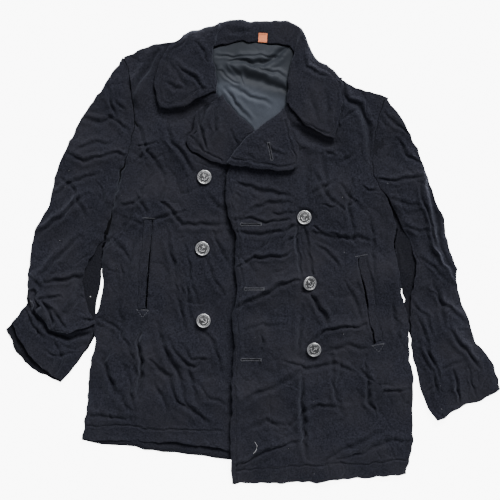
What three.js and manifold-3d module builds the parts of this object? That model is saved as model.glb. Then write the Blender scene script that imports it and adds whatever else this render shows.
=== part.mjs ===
// A double-breasted pea coat laid out flat on its back, unbuttoned, the left front over the right.
// Millimetres. +X is to the viewer's right (the wearer's left side), +Y towards the collar, +Z up from
// the surface that the coat lies on. Tables are measured from the middle of the spread-out coat.
import * as THREE from 'three';
import { mergeVertices } from 'three/addons/utils/BufferGeometryUtils.js';
import Module from 'manifold-3d';

const wasm = await Module();
wasm.setup();

// Driving dimensions
const WOOL = 2.6;
const SATIN = 1.0;
const AIR = 0.5;
const SEAM = 0.6;
const ARMHOLE_SEAM = 1.3;
const SEAT_CLEAR = 0.3;
const PLY = 2 * WOOL + 0.4;
const PLY_CLEAR = 0.25;
const COLLAR_PLY = 4.4;
const FRONT_PUFF = 1.6;
const SLEEVE_PUFF = 2.4;
const FRONT_CELLS = 13;
const BACK_CELLS = 8;
const SLEEVE_CELLS = 10;
const BUTTON_RADIUS = 12.8;
const CENTRE_SEAM_TILT = 0.012;

const MELTON = { color: 0x22252e, roughness: 0.95, metalness: 0 };
const SATIN_LINING = { color: 0x4c5763, roughness: 0.5, metalness: 0 };
const PEWTER = { color: 0xb4b6ba, roughness: 0.42, metalness: 0.9 };
const TAB_RIBBON = { color: 0xe08a5c, roughness: 0.8, metalness: 0 };

// Rows become objects with the named columns.
function table(columns, rows) {
  const names = columns.split(' ');
  return rows.map((row) => Object.fromEntries(names.map((name, i) => [name, row[i]])));
}

const point = (x, y, z = 0) => new THREE.Vector3(x, y, z);
const mix = (a, b, t) => a + (b - a) * t;

function smooth(t) {
  const s = THREE.MathUtils.clamp(t, 0, 1);
  return s * s * (3 - 2 * s);
}

// A point at t on the line from a to b, which bows to its left by bow at the middle.
function bowed(a, b, bow, t) {
  const left = point(a.y - b.y, b.x - a.x).normalize();
  return a.clone().lerp(b, t).addScaledVector(left, 4 * bow * t * (1 - t));
}

// Armholes, from the armpit (0) to the shoulder tip (1).
const ARMHOLE_RIGHT = { pit: point(-237, 123), tip: point(-228, 345), bow: -26 };
const ARMHOLE_LEFT = { pit: point(228, 118), tip: point(243, 277), bow: 13 };
const armhole = ({ pit, tip, bow }, t) => bowed(pit, tip, bow, t);

// Right front and right back: sections from the side seam, hem first, and then from the armhole.
const RIGHT_SKIRT = table('sideX sideY frontX frontY bow backY kneeRise steps', [
  [-302, -342, 50, -371, 9, -374, -9, 2],
  [-297, -300, 50, -322, 3, -322, 0, 2],
  [-288, -243, 50, -256, 0, -256, 0, 3],
  [-279, -172, 50, -178, 0, -178, 0, 3],
  [-271, -110, 50, -112, 0, -112, 0, 2],
  [-266, -54, 50, -43, 0, -48, 0, 2],
  [-267, -2, 50, 18, 0, 8, 0, 2],
  [-261, 34, 50, 63, 0, 56, 0, 2],
  [-248, 81, 50, 108, 0, 98, 0, 2],
]);
const RIGHT_CHEST = table('arm frontX frontY bow backY kneeRise steps', [
  [0, 49, 152, 0, 140, 0, 1],
  [0.085, 40, 166, 0, 156, 0, 1],
  [0.17, 29, 181, 0, 172, 0, 2],
  [0.4, 2, 212, 0, 220, 0, 2],
  [0.55, -31, 246, 2, 254, 2, 2],
  [0.7, -55, 272, 4, 288, 4, 2],
  [0.85, -84, 302, 7, 328, 7, 2],
  [1, -83, 369, 15, 370.5, 5, 1],
]);

// Left front and left back: the same, the front reaching across the middle to its edge.
const LEFT_SKIRT = table('sideX sideY frontX frontY bow backY kneeRise steps', [
  [284, -403, -34, -421, -4, -374, -4, 3],
  [289, -350, -34, -345, 0, -322, 0, 3],
  [293, -262, -33, -270, 0, -256, 0, 3],
  [288, -193, -32, -198, 0, -180, 0, 2],
  [283, -137, -31, -135, 0, -120, 0, 2],
  [274, -77, -24, -76, 0, -66, 0, 2],
  [264, -27, -29, -29, 0, -16, 0, 2],
  [259, 13, -26, 13, 0, 26, 0, 2],
  [262, 50, -34, 50, 0, 64, 0, 1],
  [251, 86, -43, 87, 0, 98, 0, 1],
]);
const LEFT_CHEST = table('arm frontX frontY bow backY kneeRise steps', [
  [0, -50, 120, 0, 130, 0, 1],
  [0.13, -42, 152, 0, 160, 0, 1],
  [0.3, -18, 181, 0, 196, 0, 1],
  [0.48, 9, 211, 0, 234, 3, 1],
  [0.64, 40, 233, 0, 266, 7, 1],
  [0.76, 62, 254, 0, 294, 12, 1],
  [0.88, 97, 297, -3, 330, 20, 2],
  [1, 90, 366, -16, 371, 30, 1],
]);
const BACK_HEM_RISE = { right: 0, left: 21 };
const KNEE = 0.34;

// Sleeves: sections from the outer edge to the inner one, armhole first. The under sleeve's inner edge
// (underX) reaches further, and lift raises a section where the cloth is bunched over itself.
const SLEEVE_RIGHT = table('outerX outerY innerX innerY underX bow lift steps', [
  [-248, 319, -243, 106, -243, 16, 0, 1],
  [-270, 288, -250, 81, -250, 9, 0.5, 2],
  [-308, 227, -256, 59, -256, 2, 0.8, 2],
  [-338, 164, -263, 34, -263, 0, 0.8, 2],
  [-358, 110, -275, 14, -267, 0, 0.8, 2],
  [-382, 40, -287, -12, -269, 0, 0.8, 2],
  [-394, -11, -293, -32, -270, 0, 1, 1],
  [-398, -42, -300, -50, -272, -2, 1.6, 1],
  [-397, -62, -299, -74, -275, -8, 3.2, 1],
  [-394, -82, -292, -98, -277, -18, 6, 1],
  [-393, -92, -286, -124, -279, -26, 7.6, 1],
  [-393, -93, -284, -134, -280, -30, 6.6, 1],
  [-393, -93, -285, -131, -281, -25, 3.6, 1],
  [-394, -94, -286, -132, -281, -26, 1.2, 1],
  [-399, -100, -287, -146, -283, -19, 0.4, 1],
  [-407, -107, -292, -168, -288, -8, 0.4, 2],
  [-417, -117, -308, -196, -306, -6, 0.6, 2],
  [-427, -129, -340, -235, -340, -13, 0.8, 1],
]);
const SLEEVE_LEFT = table('outerX outerY innerX innerY underX bow lift steps', [
  [268, 248, 240, 105, 240, -7, 0, 1],
  [288, 209, 254.5, 86, 254.5, -3, 0.5, 1],
  [308, 171, 264, 64, 263, 0, 0.8, 1],
  [317, 130, 272, 42, 263.5, 0, 0.8, 1],
  [336, 88, 281, 20, 262, 0, 0.8, 1],
  [350, 45, 291, 1, 262, 0, 0.8, 1],
  [360, 5, 298, -20, 265, 0, 0.8, 1],
  [367, -35, 300, -45, 269.5, 0, 0.8, 1],
  [373, -72, 292, -75, 277.5, 0, 1, 1],
  [386, -112, 284, -104, 281, 0, 1, 1],
  [397, -148, 287, -148, 287, 0, 0.8, 2],
  [416, -178, 293, -190, 293, 0, 0.8, 1],
  [436, -206, 301, -234, 301, 0, 0.8, 2],
  [449, -232, 311, -272, 311, 0, 0.8, 1],
  [450, -250, 335, -307, 335, 0, 0.8, 1],
]);
const UNDER_CUFF_RIGHT = { outer: point(-438, -142), inner: point(-342, -238), bow: -17 };

// Lapels: sections from the roll line to the lapel's edge, from the foot of the roll up to the gorge.
const LAPEL_RIGHT = table('rollX rollY edgeX edgeY', [
  [44, 158, 36, 153],
  [29, 181, -18, 155],
  [11, 203, -68, 161],
  [-7, 222, -104, 178],
  [-25, 241, -118, 196],
  [-41, 257, -100, 222],
  [-50, 268, -96, 246],
  [-55, 276, -78, 259],
]);
const LAPEL_LEFT = table('rollX rollY edgeX edgeY', [
  [-40, 158, -32, 155],
  [-23, 175, 20, 146],
  [-9, 193, 58, 141],
  [9, 211, 83, 148],
  [26, 223, 88, 169],
  [40, 233, 85, 192],
  [50, 242, 77, 215],
  [57, 250, 70, 230],
]);
const LAPEL_CELLS = 6;

// Collar stations from the right leaf's end, round the back neck, to the left leaf's end. Each runs
// from the neck seam over the roll to the leaf's edge; the heights are of the middle of its two plies.
const COLLAR = table('seamX seamY standZ rollX rollY leafZ edgeX edgeY edgeZ sag steps', [
  [-73, 290, 8, -68, 283, 14.2, -167, 254, 10.8, 0, 1],
  [-79, 306, 8.4, -63, 304, 14.6, -173, 280, 10.8, 0, 2],
  [-80, 328, 12, -64, 328, 18.2, -169, 310, 10.8, 0, 1],
  [-79, 347, 13.4, -68, 347, 19.6, -160, 340, 10.8, 0, 1],
  [-77, 358, 13.6, -68, 365, 19.8, -148, 364, 11, 0, 2],
  [-71, 363, 13, -61, 389, 18.6, -132, 376, 12, 0, 2],
  [-67, 366, 12, -57, 400, 14.4, -122, 383, 12, 0, 2],
  [-62, 368, 11, -54, 406, 9.6, -119, 387, 7.4, 0, 1],
  [-56, 370, 10, -50, 407, 5, -115, 382, 3.4, 0, 1],
  [-46, 368, 9.3, -38, 410, 2.2, -94, 342, 2.2, 0, 1],
  [-24, 371.6, 9, -20, 410, 2.2, -50, 322, 2.2, 0, 1],
  [0, 372.8, 9, 0, 410, 2.2, 0, 315, 2.2, 0, 1],
  [24, 372.8, 9, 23, 411, 2.2, 50, 315, 2.2, 0, 1],
  [46, 372.6, 9.3, 46, 411, 2.2, 95, 315, 2.2, 0, 1],
  [62, 370, 10, 68, 408, 2.2, 130, 311, 2.2, -6, 2],
  [70, 367, 11, 84, 400, 4, 164, 310, 2.6, -15, 2],
  [74, 363, 12, 89, 396, 9.6, 168, 312, 7.4, -15, 2],
  [77, 359, 13, 90, 390, 14.6, 167, 306, 11.4, -15, 2],
  [80, 352, 13.6, 85, 374, 19.8, 165, 288, 11, -6, 2],
  [84, 340, 13.6, 78, 348, 19.8, 164, 270, 10.8, 0, 1],
  [88, 322, 12.6, 75, 323, 18.8, 163, 248, 10.8, 0, 1],
  [86, 301, 9.6, 73, 298, 16, 160, 227, 10.8, 0, 1],
  [77, 282, 8.4, 68, 276, 14.8, 156, 211, 10.8, 0, 1],
  [69, 270, 8.2, 65, 263, 14.4, 150, 199, 10.8, 0, 1],
]);
const ROLL_RADIUS = 3.1;
const ROLL_STEPS = 4;
const STAND_STOPS = [0, 0.55];
const LEAF_STOPS = [0.22, 0.48, 0.76, 1];
const LEAF_END_BOW = 9;

// Where the collar's leaf ends beneath the backs.
const HIDDEN_LEAF = table('x y', [
  [-121, 384],
  [-94, 342],
  [-50, 322],
  [0, 315],
  [95, 315],
  [130, 311],
  [164, 304],
]);

// The lining that shows in the neck, as sections from its right side to its left.
const NECK_LINING = table('rightX rightY leftX leftY bow steps', [
  [-72, 360, 74, 364, 9, 2],
  [-76, 330, 80, 330, 4, 2],
  [-72, 290, 78, 290, 0, 1],
  [-56, 255, 68, 258, 0, 1],
  [-28, 222, 50, 224, 0, 1],
  [-2, 196, 28, 196, 0, 1],
]);
const LINING_CELLS = 8;

// The largest folds: a soft ridge from one end to the other, its height and its half width.
const FOLDS_FRONT_RIGHT = table('x1 y1 x2 y2 height width', [
  [-166, 355, -209, 284, 4.5, 15],
  [-162, 108, -99, 43, 3.5, 15],
  [-185, 126, -229, 36, 3.5, 15],
  [-247, 23, -216, -23, 3, 14],
  [-176, -198, -108, -286, 3.5, 15],
  [-108, -286, -72, -315, 2.5, 14],
  [-262, -189, -212, -292, 3.5, 15],
  [-196, -131, -203, -265, 3, 14],
]);
const FOLDS_FRONT_LEFT = table('x1 y1 x2 y2 height width', [
  [-8, -96, 88, -54, 4.5, 15],
  [-6, -26, 77, -4, 4, 14],
  [-6, 62, 72, 83, 3.5, 14],
  [103, 25, 142, -133, 4, 15],
  [118, -160, 207, -133, 3.5, 14],
  [94, -234, 99, -374, 3.5, 14],
  [-10, -273, 103, -211, 3, 15],
  [130, -385, 252, -335, 4, 15],
  [171, 262, 205, 162, 4, 15],
  [112, 104, 157, 74, 3, 14],
]);
const FOLDS_SLEEVE_RIGHT = table('x1 y1 x2 y2 height width', [
  [-375, 24, -300, 90, 4, 14],
  [-375, -40, -312, 18, 4, 13],
  [-259, 235, -230, 211, 3, 13],
  [-275, 167, -240, 169, 3, 13],
  [-385, -150, -320, -200, 2.5, 14],
]);
const FOLDS_SLEEVE_LEFT = table('x1 y1 x2 y2 height width', [
  [245, 128, 305, 130, 3.5, 13],
  [358, -144, 412, -214, 4, 13],
  [312, -162, 344, -238, 4, 13],
  [292, -94, 328, -149, 3.5, 13],
  [328, -76, 378, -130, 3.5, 13],
  [312, 128, 352, -50, 2.5, 11],
  [368, -216, 380, -262, 3, 12],
]);
const FOLDS_LINING = table('x1 y1 x2 y2 height width', [
  [-60, 352, 60, 354, 2, 10],
  [-7, 334, 66, 302, 2.5, 11],
  [-41, 300, 40, 266, 2, 11],
  [-42, 280, -2, 234, 2, 11],
]);
const FOLD_TAPER = 0.25;

function foldHeight(folds, x, y) {
  let height = 0;
  for (const fold of folds) {
    const dx = fold.x2 - fold.x1;
    const dy = fold.y2 - fold.y1;
    const length = Math.hypot(dx, dy);
    const along = ((x - fold.x1) * dx + (y - fold.y1) * dy) / (length * length);
    const across = ((y - fold.y1) * dx - (x - fold.x1) * dy) / length;
    const ends = smooth((along + FOLD_TAPER) / FOLD_TAPER) * smooth((1 + FOLD_TAPER - along) / FOLD_TAPER);
    height += fold.height * ends * Math.exp(-((across / fold.width) ** 2));
  }
  return height;
}

// The surfaces that lie on each other, by the height of what is under them.
function hiddenLeafEdge(x) {
  const next = Math.max(1, HIDDEN_LEAF.findIndex((row) => row.x >= x));
  const a = HIDDEN_LEAF[next - 1];
  const b = HIDDEN_LEAF[next];
  return mix(a.y, b.y, (x - a.x) / (b.x - a.x));
}

const LEAF_MARGIN = 14;
const LEAF_RAMP = 52;
const LEAF_TAPER = 40;

function collarLift(x, y) {
  const first = HIDDEN_LEAF[0].x;
  const last = HIDDEN_LEAF[HIDDEN_LEAF.length - 1].x;
  const edge = hiddenLeafEdge(THREE.MathUtils.clamp(x, first, last - 1));
  const sides = smooth((x - first + LEAF_TAPER) / LEAF_TAPER) * smooth((last + LEAF_TAPER - x) / LEAF_TAPER);
  return (COLLAR_PLY + 2 * AIR) * sides * smooth((y - edge + LEAF_MARGIN) / LEAF_RAMP + 1);
}

// A piece rises between its seams by puff, and less towards them.
const pillow = (u, v) => Math.sqrt(Math.max(0, 16 * u * (1 - u) * v * (1 - v)));

// Curves through the same point of every section, so that sections become an even grid.
function loft(sections, steps) {
  const lines = sections[0].map((_, j) => {
    return new THREE.CatmullRomCurve3(sections.map((section) => section[j]), false, 'centripetal');
  });
  const last = sections.length - 1;
  const stations = [];
  for (let i = 0; i < last; i += 1) {
    for (let k = 0; k < steps[i]; k += 1) {
      stations.push((i + k / steps[i]) / last);
    }
  }
  stations.push(1);
  return stations.map((t) => lines.map((line) => line.getPoint(t)));
}

// Heights for a flat grid: rise(x, y, u, v) gives the height of the cloth's middle.
function raise(grid, rise) {
  const rows = grid.length - 1;
  const columns = grid[0].length - 1;
  return grid.map((line, i) => line.map((p, j) => {
    return point(p.x, p.y, p.z + rise(p.x, p.y, j / columns, i / rows));
  }));
}

// The height of the top of finished pieces at a place, found with a ray from above.
const RAY_START = 200;
const ray = new THREE.Raycaster();

function topOf(meshes, x, y) {
  ray.set(point(x, y, RAY_START), point(0, 0, -1));
  const hits = ray.intersectObjects(meshes, false);
  return hits.length > 0 ? hits[0].point.z : -Infinity;
}

// The highest of what lies under and closely round a place.
function restAt(meshes, x, y, reach) {
  let highest = -Infinity;
  for (const dx of [-reach, 0, reach]) {
    for (const dy of [-reach, 0, reach]) highest = Math.max(highest, topOf(meshes, x + dx, y + dy));
  }
  return highest;
}

// Lays a grid over finished pieces. The cloth is stiff, so it bridges the steps between them, and loose
// adds its own puff and folds.
const REACH = 17;
const BRIDGING_PASSES = 3;

function layOver(grid, meshes, thickness, loose) {
  const rows = grid.length - 1;
  const columns = grid[0].length - 1;
  const bare = grid.map((line) => line.map((p) => Math.max(0, restAt(meshes, p.x, p.y, REACH)) + AIR));
  let height = bare;
  for (let pass = 0; pass < BRIDGING_PASSES; pass += 1) {
    height = height.map((line, i) => line.map((z, j) => {
      const up = height[Math.max(i - 1, 0)][j] + height[Math.min(i + 1, rows)][j];
      const beside = line[Math.max(j - 1, 0)] + line[Math.min(j + 1, columns)];
      return Math.max(bare[i][j], (2 * z + up + beside) / 6);
    }));
  }
  return grid.map((line, i) => line.map((p, j) => {
    const extra = loose(p.x, p.y, j / columns, i / rows);
    return point(p.x, p.y, p.z + height[i][j] + thickness / 2 + extra);
  }));
}

// The cloth's normal at every point of the grid.
function gridNormals(grid) {
  const rows = grid.length - 1;
  const columns = grid[0].length - 1;
  return grid.map((line, i) => line.map((_, j) => {
    const along = grid[Math.min(i + 1, rows)][j].clone().sub(grid[Math.max(i - 1, 0)][j]);
    const across = line[Math.min(j + 1, columns)].clone().sub(line[Math.max(j - 1, 0)]);
    return along.cross(across).normalize();
  }));
}

// A closed wall from the grid, from low to high along its normals. facing is 1 where along x across
// points to the high side, and -1 where it points to the low side.
function wall(grid, low, high, facing) {
  const normals = gridNormals(grid);
  const rows = grid.length;
  const columns = grid[0].length;
  const positions = [];
  for (const offset of [high, low]) {
    grid.forEach((line, i) => line.forEach((p, j) => {
      const q = p.clone().addScaledVector(normals[i][j], facing * offset);
      positions.push(q.x, q.y, q.z);
    }));
  }
  const lowStart = rows * columns;
  const indices = [];
  const quad = (a, b, c, d) => {
    const corners = facing > 0 ? [a, b, c, a, c, d] : [a, c, b, a, d, c];
    indices.push(...corners);
  };
  const at = (i, j) => i * columns + j;
  for (let i = 0; i + 1 < rows; i += 1) {
    for (let j = 0; j + 1 < columns; j += 1) {
      const firstDiagonal = grid[i][j].distanceTo(grid[i + 1][j + 1]);
      const otherDiagonal = grid[i + 1][j].distanceTo(grid[i][j + 1]);
      const ring = firstDiagonal < otherDiagonal
        ? [at(i, j), at(i + 1, j), at(i + 1, j + 1), at(i, j + 1)]
        : [at(i + 1, j), at(i + 1, j + 1), at(i, j + 1), at(i, j)];
      const [a, b, c, d] = ring.map((k) => k + lowStart);
      quad(...ring);
      quad(a, d, c, b);
    }
  }
  const rim = [];
  for (let i = 0; i + 1 < rows; i += 1) rim.push([at(i, 0), at(i + 1, 0)]);
  for (let j = 0; j + 1 < columns; j += 1) rim.push([at(rows - 1, j), at(rows - 1, j + 1)]);
  for (let i = rows - 1; i > 0; i -= 1) rim.push([at(i, columns - 1), at(i - 1, columns - 1)]);
  for (let j = columns - 1; j > 0; j -= 1) rim.push([at(0, j), at(0, j - 1)]);
  for (const [a, b] of rim) quad(b, a, a + lowStart, b + lowStart);
  const geometry = new THREE.BufferGeometry();
  geometry.setAttribute('position', new THREE.Float32BufferAttribute(positions, 3));
  geometry.setIndex(indices);
  geometry.computeVertexNormals();
  return geometry;
}

const coat = new THREE.Group();

function add(name, geometry, look) {
  const mesh = new THREE.Mesh(geometry, new THREE.MeshStandardMaterial(look));
  mesh.name = name;
  coat.add(mesh);
  return mesh;
}

// A single ply of cloth in the middle of its grid.
const singlePly = (grid, thickness, facing) => wall(grid, -thickness / 2, thickness / 2, facing);

// Body panels
function withArmhole(skirt, chest, opening) {
  const upper = chest.map((row) => {
    const side = armhole(opening, row.arm);
    return { ...row, sideX: side.x, sideY: side.y };
  });
  return [...skirt, ...upper];
}

const RIGHT_ROWS = withArmhole(RIGHT_SKIRT, RIGHT_CHEST, ARMHOLE_RIGHT);
const LEFT_ROWS = withArmhole(LEFT_SKIRT, LEFT_CHEST, ARMHOLE_LEFT);
const stepsOf = (rows) => rows.map((row) => row.steps);

// Sections run from the viewer's left to the right. sideOnLeft is true where the side seam is on the left.
function frontGrid(rows, sideOnLeft) {
  const sections = rows.map((row) => {
    const side = point(row.sideX, row.sideY);
    const front = point(row.frontX, row.frontY);
    const [a, b] = sideOnLeft ? [side, front] : [front, side];
    return Array.from({ length: FRONT_CELLS + 1 }, (_, j) => bowed(a, b, row.bow, j / FRONT_CELLS));
  });
  return loft(sections, stepsOf(rows));
}

function backGrid(rows, sideOnLeft, hemRise) {
  const sections = rows.map((row, i) => {
    const side = point(row.sideX, row.sideY + (i === 0 ? hemRise : 0));
    const towards = sideOnLeft ? -1 : 1;
    const centre = point(CENTRE_SEAM_TILT * row.backY + towards * SEAM / 2, row.backY);
    const knee = centre.clone().lerp(side, KNEE);
    knee.y += row.kneeRise;
    const bow = row.arm === undefined ? 0 : row.bow;
    const section = [];
    for (let j = 0; j <= BACK_CELLS; j += 1) {
      const t = j / BACK_CELLS;
      const onKnee = t <= KNEE;
      const p = onKnee
        ? centre.clone().lerp(knee, t / KNEE)
        : bowed(knee, side, towards * bow, (t - KNEE) / (1 - KNEE));
      section.push(p);
    }
    return sideOnLeft ? section.reverse() : section;
  });
  return loft(sections, stepsOf(rows));
}

const backHeight = (x, y) => collarLift(x, y) + WOOL / 2;
const backRight = add(
  'back_right',
  singlePly(raise(backGrid(RIGHT_ROWS, true, BACK_HEM_RISE.right), backHeight), WOOL, -1),
  MELTON,
);
const backLeft = add(
  'back_left',
  singlePly(raise(backGrid(LEFT_ROWS, false, BACK_HEM_RISE.left), backHeight), WOOL, -1),
  MELTON,
);
const backs = [backRight, backLeft];

// Straight sections between two named columns of points.
function straightSections(rows, [ax, ay], [bx, by], cells) {
  return rows.map((row) => {
    const a = point(row[ax], row[ay]);
    const b = point(row[bx], row[by]);
    return Array.from({ length: cells + 1 }, (_, j) => bowed(a, b, row.bow ?? 0, j / cells));
  });
}

// Lining in the neck, with folds only where it is open to view
const NECK_OPENING = { x: 8, y: 305, inside: 42, outside: 62, squash: 0.8 };

function openNeck(x, y) {
  const away = Math.hypot(x - NECK_OPENING.x, (y - NECK_OPENING.y) * NECK_OPENING.squash);
  return smooth((NECK_OPENING.outside - away) / (NECK_OPENING.outside - NECK_OPENING.inside));
}

const liningSections = straightSections(NECK_LINING, ['rightX', 'rightY'], ['leftX', 'leftY'], LINING_CELLS);
const liningGrid = layOver(loft(liningSections, stepsOf(NECK_LINING)), backs, SATIN, (x, y) => {
  return openNeck(x, y) * foldHeight(FOLDS_LINING, x, y);
});
const lining = add('lining_neck', singlePly(liningGrid, SATIN, 1), SATIN_LINING);

// Fronts: the right one is flat where the left one covers it.
const COVERED = { from: -60, ramp: 30 };
const rightFrontGrid = layOver(frontGrid(RIGHT_ROWS, true), [...backs, lining], WOOL, (x, y, u, v) => {
  const free = smooth((COVERED.from + COVERED.ramp - x) / COVERED.ramp);
  return free * (FRONT_PUFF * pillow(u, v) + foldHeight(FOLDS_FRONT_RIGHT, x, y));
});
const frontRight = add('front_right', singlePly(rightFrontGrid, WOOL, -1), MELTON);

// A lapel: the front's turned part and the facing on it, made from the same grid. The facing's first
// points curl round the roll, down to the height of the front's lower face.
const CURL = table('out drop', [
  [1.3, 1],
  [1.7, 0.5],
  [1.3, 0.1],
]);

function addLapel(side, rows, under, facing) {
  const sections = straightSections(rows, ['rollX', 'rollY'], ['edgeX', 'edgeY'], LAPEL_CELLS);
  const flat = loft(sections, rows.map(() => 2));
  const laid = layOver(flat, under, PLY, () => 0);
  const turned = add(`lapel_${side}`, wall(laid, -PLY / 2, -PLY_CLEAR, facing), MELTON);
  const curled = laid.map((line) => {
    const away = line[0].clone().sub(line[1]).setZ(0).normalize();
    const curl = CURL.map(({ out, drop }) => {
      const p = line[0].clone().addScaledVector(away, out);
      p.z -= drop * (PLY / 2 + AIR + WOOL / 2);
      return p;
    });
    return [...curl, ...line];
  });
  const facingPly = add(`facing_${side}`, wall(curled, PLY_CLEAR, PLY / 2, facing), MELTON);
  return [turned, facingPly];
}

const rightLapel = addLapel('right', LAPEL_RIGHT, [...backs, lining, frontRight], 1);
const leftFrontUnder = [...backs, lining, frontRight, ...rightLapel];
const leftFrontGrid = layOver(frontGrid(LEFT_ROWS, false), leftFrontUnder, WOOL, (x, y, u, v) => {
  return FRONT_PUFF * pillow(u, v) + foldHeight(FOLDS_FRONT_LEFT, x, y);
});
const frontLeft = add('front_left', singlePly(leftFrontGrid, WOOL, -1), MELTON);
const leftLapel = addLapel('left', LAPEL_LEFT, [...leftFrontUnder, frontLeft], -1);

// Sleeves: the head follows the armhole, and the top sleeve lies over the under sleeve.
function sleeveGrid(rows, opening, outward, under, cuff) {
  const across = Array.from({ length: SLEEVE_CELLS + 1 }, (_, j) => j / SLEEVE_CELLS);
  const head = across.map((t) => {
    const p = armhole(opening, 1 - t);
    p.x += outward * ARMHOLE_SEAM;
    return p;
  });
  const sections = rows.map((row) => {
    const outer = point(row.outerX, row.outerY);
    const inner = point(under ? row.underX : row.innerX, row.innerY);
    const bow = under ? 0 : row.bow;
    return across.map((t) => {
      const p = bowed(outer, inner, -outward * bow, t);
      p.z = under ? 0 : row.lift;
      return p;
    });
  });
  if (cuff) sections[sections.length - 1] = across.map((t) => bowed(cuff.outer, cuff.inner, cuff.bow, t));
  return loft([head, ...sections], [1, ...stepsOf(rows)]);
}

// The under sleeve's table rows leave out those where the top sleeve is folded back over itself.
const FOLDED_LIFT = 1.1;
const unfolded = (rows) => rows.filter((row) => row.lift < FOLDED_LIFT);

function addSleeve(side, rows, opening, outward, folds, cuff) {
  const flat = sleeveGrid(unfolded(rows), opening, outward, true, cuff);
  const underGrid = raise(flat, () => WOOL / 2);
  const under = add(`sleeve_under_${side}`, singlePly(underGrid, WOOL, -outward), MELTON);
  const topGrid = raise(sleeveGrid(rows, opening, outward, false), (x, y, u, v) => {
    return WOOL * 1.5 + AIR + SLEEVE_PUFF * pillow(u, v) + foldHeight(folds, x, y);
  });
  const top = add(`sleeve_top_${side}`, singlePly(topGrid, WOOL, -outward), MELTON);
  return [under, top];
}

addSleeve('right', SLEEVE_RIGHT, ARMHOLE_RIGHT, -1, FOLDS_SLEEVE_RIGHT, UNDER_CUFF_RIGHT);
addSleeve('left', SLEEVE_LEFT, ARMHOLE_LEFT, 1, FOLDS_SLEEVE_LEFT, null);

// Collar: each station's section runs up the stand, round the roll and out along the leaf.
const STANDS_ON = [...backs, lining];
const LEAF_LIES_ON = [frontRight, frontLeft, ...rightLapel, ...leftLapel];
const COLLAR_REACH = 8;
const LEAF_AIR = 0.8;
const STAND_REACH = 2;
const STAND_WIDTH = 24;

function collarSection(row, isEnd) {
  const seam = point(row.seamX, row.seamY);
  const roll = point(row.rollX, row.rollY);
  const edge = point(row.edgeX, row.edgeY);
  const up = roll.clone().sub(seam).normalize();
  const out = edge.clone().sub(roll).normalize();
  const outward = up.clone().sub(out).normalize();
  const standEnd = roll.clone().addScaledVector(up, -ROLL_RADIUS);
  const leafStart = roll.clone().addScaledVector(out, ROLL_RADIUS);
  const section = STAND_STOPS.map((t) => seam.clone().lerp(standEnd, t).setZ(row.standZ));
  for (let k = 0; k <= ROLL_STEPS; k += 1) {
    const angle = Math.PI * k / ROLL_STEPS;
    const turned = (1 - Math.cos(angle)) / 2;
    const p = standEnd.clone().lerp(leafStart, turned);
    p.addScaledVector(outward, ROLL_RADIUS * Math.sin(angle));
    section.push(p.setZ(mix(row.standZ, row.leafZ, turned)));
  }
  for (const t of LEAF_STOPS) {
    const p = bowed(leafStart, edge, row.sag + LEAF_END_BOW * isEnd, t);
    section.push(p.setZ(mix(row.leafZ, row.edgeZ, t)));
  }
  return section;
}

const lastStation = COLLAR.length - 1;
const collarSections = COLLAR.map((row, i) => collarSection(row, Number(i === 0) - Number(i === lastStation)));
const collarGrid = loft(collarSections, stepsOf(COLLAR));
// Over the fronts, the stand keeps clear of what is under it, and the leaf of the stand and the fronts.
const FRONT_LEAF_Z = 12;
const LEAF_OVER_STAND = 2 * ROLL_RADIUS;
const ROLL_TOP = STAND_STOPS.length + ROLL_STEPS;
const LEAF_BRIDGING = 3;

for (const line of collarGrid) {
  for (const p of line) p.z = Math.max(p.z, COLLAR_PLY / 2);
  const stand = line.slice(0, STAND_STOPS.length + 1);
  const short = stand.map((p) => restAt(STANDS_ON, p.x, p.y, STAND_REACH) + AIR + COLLAR_PLY / 2 - p.z);
  const lift = Math.max(0, ...short);
  for (const p of line.slice(0, ROLL_TOP)) p.z += lift;
}

const leafFloor = collarGrid.map((line) => line.map((p, j) => {
  if (j < ROLL_TOP || line[ROLL_TOP].z < FRONT_LEAF_Z) return -Infinity;
  const rest = restAt(LEAF_LIES_ON, p.x, p.y, COLLAR_REACH) + LEAF_AIR + COLLAR_PLY / 2;
  const overStand = p.distanceTo(line[ROLL_TOP]) < STAND_WIDTH ? line[0].z + LEAF_OVER_STAND : 0;
  return Math.max(rest, overStand);
}));
for (let pass = 0; pass <= LEAF_BRIDGING; pass += 1) {
  const before = collarGrid.map((line) => line.map((p) => p.z));
  collarGrid.forEach((line, i) => line.forEach((p, j) => {
    if (leafFloor[i][j] === -Infinity) return;
    const beyond = before[i][Math.min(j + 1, line.length - 1)];
    const beside = before[Math.max(i - 1, 0)][j] + before[Math.min(i + 1, before.length - 1)][j];
    const even = pass === 0 ? p.z : (2 * p.z + before[i][j - 1] + beyond + beside) / 6;
    p.z = Math.max(leafFloor[i][j], even);
  }));
}

// The under collar is trimmed where the roll turns so tightly that the upper collar reaches into it.
function solid(geometry) {
  const bare = new THREE.BufferGeometry();
  bare.setAttribute('position', geometry.getAttribute('position'));
  bare.setIndex(geometry.getIndex());
  const merged = mergeVertices(bare);
  const mesh = new wasm.Mesh({
    numProp: 3,
    vertProperties: new Float32Array(merged.getAttribute('position').array),
    triVerts: new Uint32Array(merged.getIndex().array),
  });
  return new wasm.Manifold(mesh);
}

function trimmed(geometry, cutter) {
  const pieces = solid(geometry).subtract(solid(cutter)).decompose();
  const largest = pieces.reduce((a, b) => (b.volume() > a.volume() ? b : a));
  const { vertProperties, triVerts } = largest.getMesh();
  const result = new THREE.BufferGeometry();
  result.setAttribute('position', new THREE.BufferAttribute(vertProperties, 3));
  result.setIndex(new THREE.BufferAttribute(triVerts, 1));
  result.computeVertexNormals();
  return result;
}

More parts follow.
